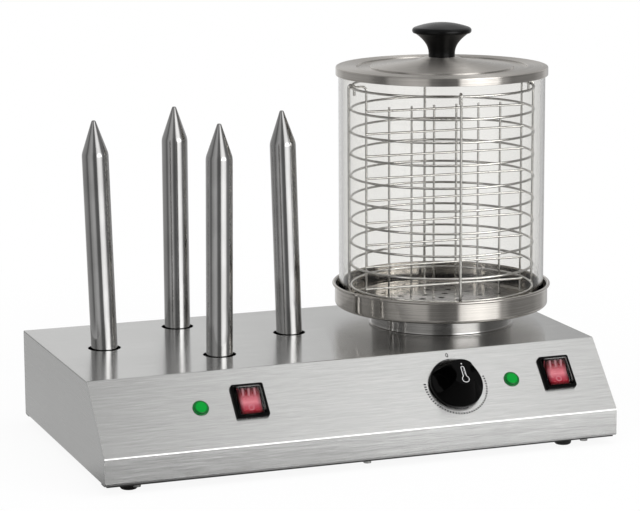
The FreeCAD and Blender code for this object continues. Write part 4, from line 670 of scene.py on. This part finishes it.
def basket_divider():
    """A flat grid of straight wires. The two end wires bend outwards over the top hoop."""
    low, high, over = 116.3, 307.2, RING_HEIGHTS[-1] + 2.35
    side = direction(0, 1)
    wires = []
    for x in GRID_XS[1:-1]:
        wires.append(wire(in_basket(spaced(np.array([(x, 0, low), (x, 0, high)]), 12)), side, 1.1))
    for sign in (-1, 1):
        path = path_with_bends([
            ((GRID_SHIFT + GRID_HALF * sign, 0, low), 0),
            ((GRID_SHIFT + GRID_HALF * sign, 0, over), 4.0),
            (((RING_RADIUS + 1.2) * sign, 0, over), 0),
        ])
        wires.append(wire(in_basket(path), side, 1.1))
    for height in RING_HEIGHTS[:-1]:
        ends = [(GRID_SHIFT + 82.5 * sign, -2.25, height) for sign in (-1, 1)]
        wires.append(wire(in_basket(spaced(np.array(ends), 12)), (0, 0, 1), 1.1))
    piece = joined("basket_grid", wires, "basket", finishes["wire"])
    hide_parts("basket_divider")


def basket_welds():
    """A small flattened bead at each crossing: an ellipsoid (a cos u cos v, a sin u cos v, b sin v)."""
    places = [(x, -1.1, height) for x in GRID_XS for height in RING_HEIGHTS[:-1]]
    for angle in UPRIGHT_ANGLES:
        out = RING_RADIUS + 1.25
        places.extend((out * math.cos(angle), out * math.sin(angle), height) for height in RING_HEIGHTS)
    u = once_round(8)[:, None]
    v = np.linspace(-np.pi / 2, np.pi / 2, 6)[None, :]
    bead = np.stack([1.25 * np.cos(u) * np.cos(v), 1.0 * np.sin(u) * np.cos(v), 1.25 * np.sin(v) + 0 * u], axis=2)
    beads = [
        grid_piece("bead", in_basket(bead + np.array(place)), "basket", finishes["wire"], wrap_u=True, sharp=90)
        for place in places
    ]
    joined("basket_welds", beads, "basket", finishes["wire"])


basket_rings()
basket_uprights()
basket_divider()
basket_welds()


# Lid


def lid():
    """A spun lid: a rolled skirt, a flat ring, a sunk ring and a low cone up to the knob's seat."""
    outside = [
        (101.8, 336.8, 0), (102.8, 336.8, 0.4), (102.8, 345.1, 1.6), (82.9, 345.1, 0.5), (82.3, 343.5, 0.4),
        (70.0, 343.5, 0.4), (69.3, 345.3, 0.5), (24.0, 350.8, 14.0), (15.0, 353.9, 4.0), (0, 353.9, 0),
    ]
    inside = [
        (0, 352.9, 0), (15.0, 352.9, 3.0), (24.0, 349.8, 12.0), (68.6, 344.4, 0.4), (69.2, 342.6, 0.4),
        (83.2, 342.6, 0.4), (83.8, 344.1, 0.4), (101.8, 344.1, 0.8), (101.8, 336.8, 0),
    ]
    profile = np.concatenate([rounded(outside), rounded(inside)])
    piece = lathe("lid_pressing", profile, BOILER, "lid", finishes["lid"], 320)
    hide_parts("lid")


def lid_knob():
    """A mushroom: a short neck, a hollow flare, a round edge and a top that is a shallow piece of a ball.

    With h from 0 to 1, the flare's radius is 12.8 + 14.5 h to the power 2.1, and its height is 20.6 h to the
    power 0.97.
    """
    seat = 353.9
    height = np.linspace(0, 1, 40)
    flare_radius = 12.8 + (27.3 - 12.8) * height ** 2.1
    flare = np.stack([flare_radius, seat + 3.0 + 20.6 * height ** 0.97], axis=1)
    edge = np.linspace(-0.9, 1.15, 14)
    rim = np.stack([25.9 + 2.8 * np.cos(edge), seat + 25.3 + 2.9 * np.sin(edge)], axis=1)
    ball = (27.0 ** 2 + 4.9 ** 2) / (2 * 4.9)
    reach = np.linspace(26.9, 0, 24)
    dome = np.stack([reach, seat + 33.0 - ball + np.sqrt(ball ** 2 - reach ** 2)], axis=1)
    profile = np.concatenate([[(0, seat), (12.8, seat), (12.8, seat + 1.5)], flare, rim, dome])
    piece = lathe("lid_handle", profile, BOILER, "lid", finishes["black_satin"], 192, 40)
    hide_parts("lid_knob")


lid()
lid_knob()


# Pilot lamps


def lamp(side):
    """A green cap in three steps: a flat foot ring, a rounded rim, and a low dome with faint rings moulded in it.

    The dome's height is 2.55 - 0.012 r squared + 0.05 cos 4.2 r.
    """
    reach = np.linspace(5.1, 0, 40)
    dome = 2.55 - 0.012 * reach ** 2 + 0.05 * np.cos(reach * 4.2)
    lens = np.concatenate([rounded([(0, 1.2, 0), (5.25, 1.2, 0), (5.25, 2.1, 0)]), np.stack([reach, dome], axis=1)])
    rim = rounded([(0, 0.1, 0), (6.3, 0.1, 0), (6.3, 2.15, 0.7), (5.35, 2.3, 0.2), (5.3, 1.3, 0), (0, 1.3, 0)])
    foot = rounded([(0, 0.02, 0), (7.6, 0.02, 0), (7.6, 1.0, 0.4), (6.2, 1.0, 0), (0, 1.0, 0)])
    place = (LAMPS[side], LAMP_LINE, "housing")
    piece = turned_on_panel("lamp_cap_" + side, lens, *place, finishes["green"], 96, 50)
    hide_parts("lamp_lens_" + side)
    for name, profile in (("rim", rim), ("foot", foot)):
        # The rim and foot ring take the darker green of painted shade.
        ring = turned_on_panel(f"lamp_{name}_{side}", profile, *place, finishes["green_rim_painted_shade"], 96)


# Rocker switches


def switch_frame(side):
    """A black bezel: a rounded rectangle that rises with a slight draft, a bevelled lip, a shelf and a well."""
    rings = [
        (13.2, 15.0, 0.6, -22.0), (13.2, 15.0, 0.6, 0.0), (15.5, 17.1, 2.0, 0.0), (15.5, 17.1, 2.0, 0.2),
        (15.35, 16.95, 2.0, 3.3), (15.0, 16.6, 1.8, 3.85), (14.6, 16.2, 1.6, 4.0), (13.0, 14.6, 1.0, 4.0),
        (12.6, 14.2, 0.9, 3.8), (12.5, 14.1, 0.8, 1.5), (10.8, 13.6, 0.5, 1.5), (10.8, 13.6, 0.5, -9.0),
        (0.01, 0.01, 0.005, -9.0),
    ]
    piece = loft_on_panel("switch_bezel_" + side, rings, SWITCHES[side], "housing", finishes["bezel"])
    low = [(0.01, 0.01, 0.005, -22.0), (13.2, 15.0, 0.6, -22.0)]
    back = loft_on_panel("switch_back_" + side, low, SWITCHES[side], "housing", finishes["bezel"])
    for row in (-1, 1):
        middle = SWITCH_LINE + 7.5 * row
        blade = np.array([
            on_panel(SWITCHES[side] + np.array([-3.15, 3.15, 3.15, -3.15]) * share,
                     middle + np.array([-0.4, -0.4, 0.4, 0.4]) * share, n)
            for share, n in ((0.01, -22.0), (1, -22.0), (1, -29.0), (0.8, -30.0), (0.01, -30.0))
        ])
        tab = grid_piece(f"switch_blade_{side}_{'low' if row < 0 else 'high'}", blade, "housing",
                         finishes["brass"], wrap_v=True)
    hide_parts("switch_body_" + side)


BUTTON_TIP = math.radians(10)
BUTTON_HALF = 12.4


def on_button(x, u, v, height):
    """A point of a button that stands tipped about its pivot."""
    s = v * math.cos(BUTTON_TIP) - height * math.sin(BUTTON_TIP)
    n = v * math.sin(BUTTON_TIP) + height * math.cos(BUTTON_TIP)
    return on_panel(x + u, SWITCH_LINE + s, n)


def button_top(v):
    """The button's hollow, which rises by 1.4 from its middle to both ends with the square of the way."""
    return 2.1 + 1.4 * (v / BUTTON_HALF) ** 2


def rocker(side):
    """A red button, hollow from end to end, rounded down at its edges, with a foot that rises to both ends."""
    x = SWITCHES[side]
    across = np.linspace(-1, 1, 41)[:, None]
    along = np.linspace(-1, 1, 61)[None, :]
    edge = np.clip((1 - np.maximum(np.abs(across), np.abs(along))) / 0.07, 0, 1)
    fall = 0.7 * (1 - np.sqrt(1 - (1 - edge) ** 2))
    u, v = np.broadcast_arrays(10.3 * across, BUTTON_HALF * along)
    rise = 5.2 * np.clip(np.abs(along) - 0.47, 0, None) / 0.53
    upper = on_button(x, u, v, button_top(v) - fall)
    lower = on_button(x, u, v, rise - 5.0)

    def border(points):
        return np.concatenate([points[0, :-1], points[:-1, -1], points[-1, :0:-1], points[:0:-1, 0]])

    skirt = np.stack([border(upper), border(lower)], axis=1)
    pieces = [
        grid_piece("shell", points, "rocker_" + side, finishes["red"], wrap_u=points is skirt)
        for points in (upper, lower, skirt)
    ]
    piece = joined("rocker_button_" + side, pieces, "rocker_" + side, finishes["red"])
    weld(piece.data)
    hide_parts("rocker_" + side)


def off_ring(side):
    """The ring for off: a narrow band that lies on the button's hollow top."""
    turn = once_round(48)
    layers = []
    for radius, lift in ((2.05, 0.0), (2.05, 0.09), (2.75, 0.09), (2.75, 0.0), (2.05, 0.0)):
        u, v = radius * np.cos(turn), radius * np.sin(turn) - 6.4
        layers.append(on_button(SWITCHES[side], u, v, button_top(v) + lift))
    mark = grid_piece("rocker_mark_" + side, np.array(layers), "rocker_" + side, finishes["pink"], wrap_v=True)


def splash_cover(side):
    """A clear bubble: a rounded rectangle that draws in over a soft shoulder to a flat front, 0.8 thick."""
    outer = [(12.2, 13.8, 1.8, 1.5), (12.2, 13.8, 1.8, 5.4)]
    inner = [(11.4, 13.0, 1.2, 1.5), (11.4, 13.0, 1.2, 5.0)]
    for angle in np.linspace(0, np.pi / 2, 9)[1:]:
        draw, lift = 1 - math.cos(angle), math.sin(angle)
        outer.append((12.2 - 2.2 * draw, 13.8 - 2.2 * draw, 1.8, 5.6 + 2.2 * lift))
        inner.append((11.4 - 1.8 * draw, 13.0 - 1.8 * draw, 1.2, 5.2 + 1.8 * lift))
    rings = outer + [(0.02, 0.02, 0.01, 7.8), (0.02, 0.02, 0.01, 7.0)] + inner[::-1] + [outer[0]]
    piece = loft_on_panel("cover_bubble_" + side, rings, SWITCHES[side], "housing", finishes["cover"], 45)
    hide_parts("splash_cover_" + side)


for side in LAMPS:
    lamp(side)
    switch_frame(side)
    rocker(side)
    off_ring(side)
    splash_cover(side)


# Thermostat knob and its printed scale


def softer(first, second, width):
    """The smaller of two heights, with a round corner of a given width where they cross."""
    share = np.clip(0.5 + (second - first) / (2 * width), 0, 1)
    return second * (1 - share) + first * share - width * share * (1 - share)


def knob_height(u, v):
    """The knob's front: a cone with a flat top, and a round finger scoop on each side of the ridge.

    The cone falls from 25 at radius 13.2 to 6.5 at radius 24.6. Each scoop is a circle of radius 11.9 about
    (18.9, 0): its floor lies at 5.9, and its wall rises with the square of the way into the outer sixth.
    """
    cone = np.interp(np.hypot(u, v), [0, 13.2, 24.6, 25.3, 25.6], [25.0, 25.0, 6.5, 5.2, 4.0])
    share = np.hypot(np.abs(u) - 18.9, v) / 11.9
    scoop = 5.9 + 26.0 * (np.clip(share - 0.84, 0, None) / 0.16) ** 2
    return softer(cone, np.minimum(scoop, 32.0), 0.5)


def thermostat_knob():
    """The front of the knob over a polar grid, then its upright skirt and its flat back."""
    radius = np.concatenate([np.linspace(0, 6.0, 8), np.linspace(6.2, 25.2, 150), np.linspace(25.3, 25.6, 5)])
    turn = once_round(480)[:, None]
    u, v = radius * np.cos(turn), radius * np.sin(turn)
    n = knob_height(u, v)
    back_radius = np.array([25.6, 25.6, 25.3, 0])
    back_height = np.array([3.0, 1.3, 1.0, 1.0])
    u = np.concatenate([u, back_radius * np.cos(turn)], axis=1)
    v = np.concatenate([v, back_radius * np.sin(turn)], axis=1)
    n = np.concatenate([n, np.broadcast_to(back_height, (len(turn), 4))], axis=1)
    points = on_panel(THERMOSTAT + u, CONTROL_LINE + v, n)
    piece = grid_piece("dial_knob", points, "thermostat", finishes["black"], wrap_u=True, sharp=50)
    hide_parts("thermostat_knob")


def flat_band(name, inner, outer, height, body, material):
    """A thin printed band between two outlines of (u, v) about the thermostat's axis, lying at one height."""
    top = height + 0.06
    layers = [
        on_panel(THERMOSTAT + outline[:, 0], CONTROL_LINE + outline[:, 1], n)
        for outline, n in ((inner, height), (inner, top), (outer, top), (outer, height), (inner, height))
    ]
    return grid_piece(name, np.array(layers), body, material, wrap_v=True)


def flat_mark(outline, *place):
    """A thin printed mark, filled from its outline to its middle."""
    middle = outline.mean(0)
    return flat_band("mark", (outline - middle) * 0.02 + middle, outline, *place)


def thermometer():
    """The plain sign of a thermometer on the ridge: a narrow tube, a bulb, four ticks and a dot above.

    The sign's line lies between its outline pushed in and pushed out, square to the tube and to the bulb.
    """
    half, bulb, low, high = 1.5, 3.3, -8.0, 5.3
    start = math.asin(half / bulb)
    over = np.linspace(math.pi, 0, 12)
    around = np.linspace(math.pi / 2 - start, -math.pi * 1.5 + start, 40)
    cap = np.stack([np.cos(over), np.sin(over)], 1)
    ball = np.stack([np.cos(around), np.sin(around)], 1)
    outline = np.concatenate([half * cap + (0, high - half), bulb * ball + (0, low)])
    neck = ball[:, 1:] > 0.8
    push = np.concatenate([cap, np.where(neck, np.sign(ball) * (1, 0), ball)]) * 0.27
    place = (25.0, "thermostat", finishes["white_print"])
    turn = once_round(24)
    dot = np.stack([0.5 * np.cos(turn), 8.2 + 0.65 * np.sin(turn)], 1)
    pieces = [
        flat_band("line", outline - push, outline + push, *place),
        flat_band("dot", dot * (0.01, 1), dot, *place),
    ]
    for index in range(4):
        pieces.append(flat_mark(rounded_rectangle(0.4, 0.18, 0.1, 16) + (0.5, -2.6 + 1.7 * index), *place))
    joined("knob_sign", pieces, "thermostat", finishes["white_print"])


def scale_print():
    """The printed scale: a nought above the knob and short strokes round it that grow shorter to the right."""
    place = (0.0, "housing", finishes["print"])
    turn = once_round(40)
    outer, inner = (
        np.stack([half_x * np.cos(turn) + 0.15, half_y * np.sin(turn) + 31.9], 1)
        for half_x, half_y in ((1.35, 2.2), (0.65, 1.4))
    )
    pieces = [flat_band("nought", inner, outer, *place)]
    for share in np.linspace(0, 1, 40):
        angle = math.radians(174 + 198 * share)
        middle = np.array([math.cos(angle), math.sin(angle)])
        side = np.array([-middle[1], middle[0]]) * 0.62
        low, high = 29.0 + 0.7 * share, 31.4
        stroke = np.array([middle * low - side, middle * high - side, middle * high + side, middle * low + side])
        pieces.append(flat_mark(stroke, *place))
    joined("scale_marks", pieces, "housing", finishes["print"])


thermostat_knob()
thermometer()
scale_print()


# Finishes of the pieces that keep their own solid


def dress(material, *names):
    for name in names:
        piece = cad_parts[name]
        if not piece.material_slots:
            piece.data.materials.append(finishes[material])
        for slot in piece.material_slots:
            slot.material = finishes[material]


dress("casing", "casing")
dress("end", "left_end_panel", "right_end_panel")
# The base plate's near-black is partly painted shade.
dress("base", "base_plate")
dress("screw", "base_screws", "foot_screws", "bridge_screws", "lid_knob_screw", "thermostat_screws")
dress("bracket", "spike_bridge", "spike_nuts", "hotplate_stud", "clamp_bar", "clamp_nut", "thermal_cutout",
      "lamp_nuts", "thermostat_shaft", "spike_plugs")
dress("rubber", "foot_front_left", "foot_front_right", "foot_rear_left", "foot_rear_right")
dress("element", "hotplate_element", "thermostat_sensor", "spike_heater_left", "spike_heater_rear",
      "spike_heater_front", "spike_heater_right")
dress("aluminium", "hotplate")
dress("black_satin", "cable_gland", "gland_nut")
dress("control", "thermostat_body", "lamp_body_left", "lamp_body_right")
dress("ceramic", "terminal_block")
dress("brass", "terminal_screws", "earth_stud")
dress("pan_floor", "basket_floor")


# Studio


VIEW_YAW = math.radians(20.364)
ROOM_TOP = 1.7
ROOM = [(-180, 0.72), (-175, 0.84), (-168, 0.74), (-150, 0.58), (-132, 0.42), (-112, 0.38), (-90, 0.34),
        (-78, 0.20), (-68, 0.17), (-58, 0.42), (-32, 0.58), (-20, 0.52), (-12, 0.20), (0, 0.14), (14, 0.18),
        (20, 1.25), (28, 1.55), (40, 1.7), (58, 1.4), (67, 0.42), (80, 0.22), (95, 0.24), (112, 0.26), (130, 0.38),
        (148, 0.60), (165, 0.50), (173, 0.45), (177, 0.62), (180, 0.72)]


def bare_nodes(owner):
    """The emptied node tree of a material or a world."""
    owner.use_nodes = True
    owner.node_tree.nodes.clear()
    return Nodes(owner.node_tree)


def mirrored(nodes, path):
    """1 for a ray that a mirror has sent on its way, and 0 for one that came straight or only through glass."""
    return nodes.maths("MINIMUM", path["Glossy Depth"], 1.0)


def studio_floor():
    """A wide flat floor that takes the object's soft shadow.

    To the camera and to glass it glows as the background does, most of it near the object and all of it from
    0.9 m on, so that it runs into the background without an edge. Metal sees painted shade on the floor near the
    object, grey and darker at the front left, and the room below and beyond that painted shade's edge.
    """
    material = bpy.data.materials.new("studio_floor")
    nodes = bare_nodes(material)
    place = nodes.node("TexCoord").outputs["Object"]
    share = nodes.spread(nodes.vector("LENGTH", place), 0.92, 1.0, 0.35, 0.9, "SMOOTHSTEP")
    path = nodes.node("LightPath").outputs
    seen = nodes.maths("MAXIMUM", path["Is Camera Ray"], path["Is Glossy Ray"])
    seen = nodes.maths("MAXIMUM", seen, path["Is Transmission Ray"])
    mirror = mirrored(nodes, path)
    east, north, _ = nodes.parts(place)
    # Painted shade that metal sees on the floor near the object, darker at the front left.
    front = nodes.spread(east, 0.1, 0.47, -0.22, 0.1)
    painted_floor_shade = nodes.mixed(nodes.spread(north, 0.0, 1.0, -0.14, -0.04), front, (0.55, 0.55, 0.55, 1))
    glow = nodes.node("Emission", {"Color": nodes.mixed(mirror, (1, 1, 1, 1), painted_floor_shade), "Strength": 1.0})
    paper = nodes.node("BsdfDiffuse", {"Color": (0.86, 0.86, 0.86, 1)})
    near = nodes.node("MixShader", {0: nodes.product(share, seen), 1: paper.outputs[0], 2: glow.outputs[0]})
    reach = nodes.vector("LENGTH", nodes.vector("MULTIPLY", place, (0.75, 1.1, 1.0)))
    beyond = nodes.product(nodes.eased(reach, 0.44, 0.54), mirror)
    room = nodes.node("BsdfTransparent")
    both = nodes.node("MixShader", {0: beyond, 1: near.outputs[0], 2: room.outputs[0]})
    nodes.node("OutputMaterial", {"Surface": both.outputs[0]})
    mesh = bpy.data.meshes.new("studio_floor")
    half = 12.0
    mesh.from_pydata([(-half, -half, 0), (half, -half, 0), (half, half, 0), (-half, half, 0)], [], [(0, 1, 2, 3)])
    mesh.materials.append(material)
    in_scene("studio_floor", mesh)


def softbox(name, place, aim, size, power):
    """A rectangular lamp that points at a place on the object. Metal shows the room instead of the lamp."""
    lamp = bpy.data.lights.new(name, "AREA")
    lamp.shape = "RECTANGLE"
    lamp.size, lamp.size_y = size
    lamp.energy = power
    light = in_scene(name, lamp)
    light.location = place
    light.rotation_euler = (Vector(aim) - Vector(place)).to_track_quat("-Z", "Y").to_euler()
    light.visible_glossy = False


def studio_world():
    """A pale room: white to the camera and through glass.

    Metal sees white cards and grey screens that stand round the object, by compass angle from the camera's side.
    It also sees a long light above them at the front, and a ceiling that is paler on the right.
    """
    world = bpy.data.worlds.new("studio")
    bpy.context.scene.world = world
    nodes = bare_nodes(world)
    facing = nodes.node("TexCoord").outputs["Generated"]
    spin = nodes.node("VectorRotate", {"Vector": facing, "Angle": VIEW_YAW}, rotation_type="Z_AXIS").outputs[0]
    x, y, _ = nodes.parts(spin)
    compass = nodes.maths("ARCTAN2", x, nodes.product(y, -1.0))
    stops = [((angle + 180) / 360, [level / ROOM_TOP] * 3) for angle, level in ROOM]
    screens = nodes.colours(nodes.spread(compass, 0.0, 1.0, -math.pi, math.pi), stops, "EASE")
    screens = nodes.vector("SCALE", screens, scale=ROOM_TOP)
    east, _, height = nodes.parts(facing)
    left = nodes.spread(east, 0.33, 0.98, 0.2, 0.37)
    ceiling = nodes.maths("SUBTRACT", left, nodes.spread(east, 0.0, 0.28, 0.37, 0.47))
    above = nodes.mixed(nodes.spread(height, 0.0, 1.0, 0.45, 0.8), screens, ceiling)
    ahead = nodes.eased(nodes.vector("DOT_PRODUCT", facing, (0.37, -0.93, 0)), 0.9, 0.96)
    band = nodes.product(nodes.eased(height, -0.02, 0.05), nodes.eased(height, 0.45, 0.3), ahead)
    path = nodes.node("LightPath").outputs
    plain = nodes.maths("MAXIMUM", path["Is Camera Ray"], path["Is Transmission Ray"])
    white = nodes.mixed(plain, (0.62, 0.62, 0.63, 1), (1, 1, 1, 1))
    metal = nodes.maths("SUBTRACT", mirrored(nodes, path), path["Is Diffuse Ray"], use_clamp=True)
    seen = nodes.mixed(metal, white, nodes.mixed(band, above, (3.4, 3.4, 3.4, 1)))
    background = nodes.node("Background", {"Color": seen, "Strength": 1.0})
    nodes.node("OutputWorld", {"Surface": background.outputs[0]})


def studio_camera():
    """The photograph's camera, from the fit: 145.5 mm on a 36 mm frame, turned, pitched down and rolled."""
    yaw, pitch, roll = VIEW_YAW, math.radians(10.666), math.radians(-0.273)
    forward = Vector((math.sin(yaw) * math.cos(pitch), math.cos(yaw) * math.cos(pitch), -math.sin(pitch)))
    right = Vector((math.cos(yaw), -math.sin(yaw), 0))
    up = right.cross(forward)
    side = right * math.cos(roll) + up * math.sin(roll)
    top = up * math.cos(roll) - right * math.sin(roll)
    data = bpy.data.cameras.new("view")
    data.sensor_width = 36.0
    data.lens = 2587.314 * 36.0 / 640
    data.clip_end = 50.0
    camera = in_scene("view", data)
    turn = Matrix((side, top, -forward)).transposed().to_4x4()
    camera.matrix_world = Matrix.Translation((-0.835785, -2.274019, 0.628071)) @ turn
    bpy.context.scene.camera = camera


studio_floor()
softbox("overhead", (0.15, -0.35, 1.7), (0, 0, 0.1), (1.6, 1.2), 14)
softbox("right_side", (1.5, -1.3, 0.9), (0, 0, 0.15), (0.9, 1.4), 12)
softbox("left_side", (-1.9, -0.7, 0.8), (0, 0, 0.15), (0.7, 1.2), 6)
studio_world()
studio_camera()
bpy.context.scene.view_settings.view_transform = "Standard"
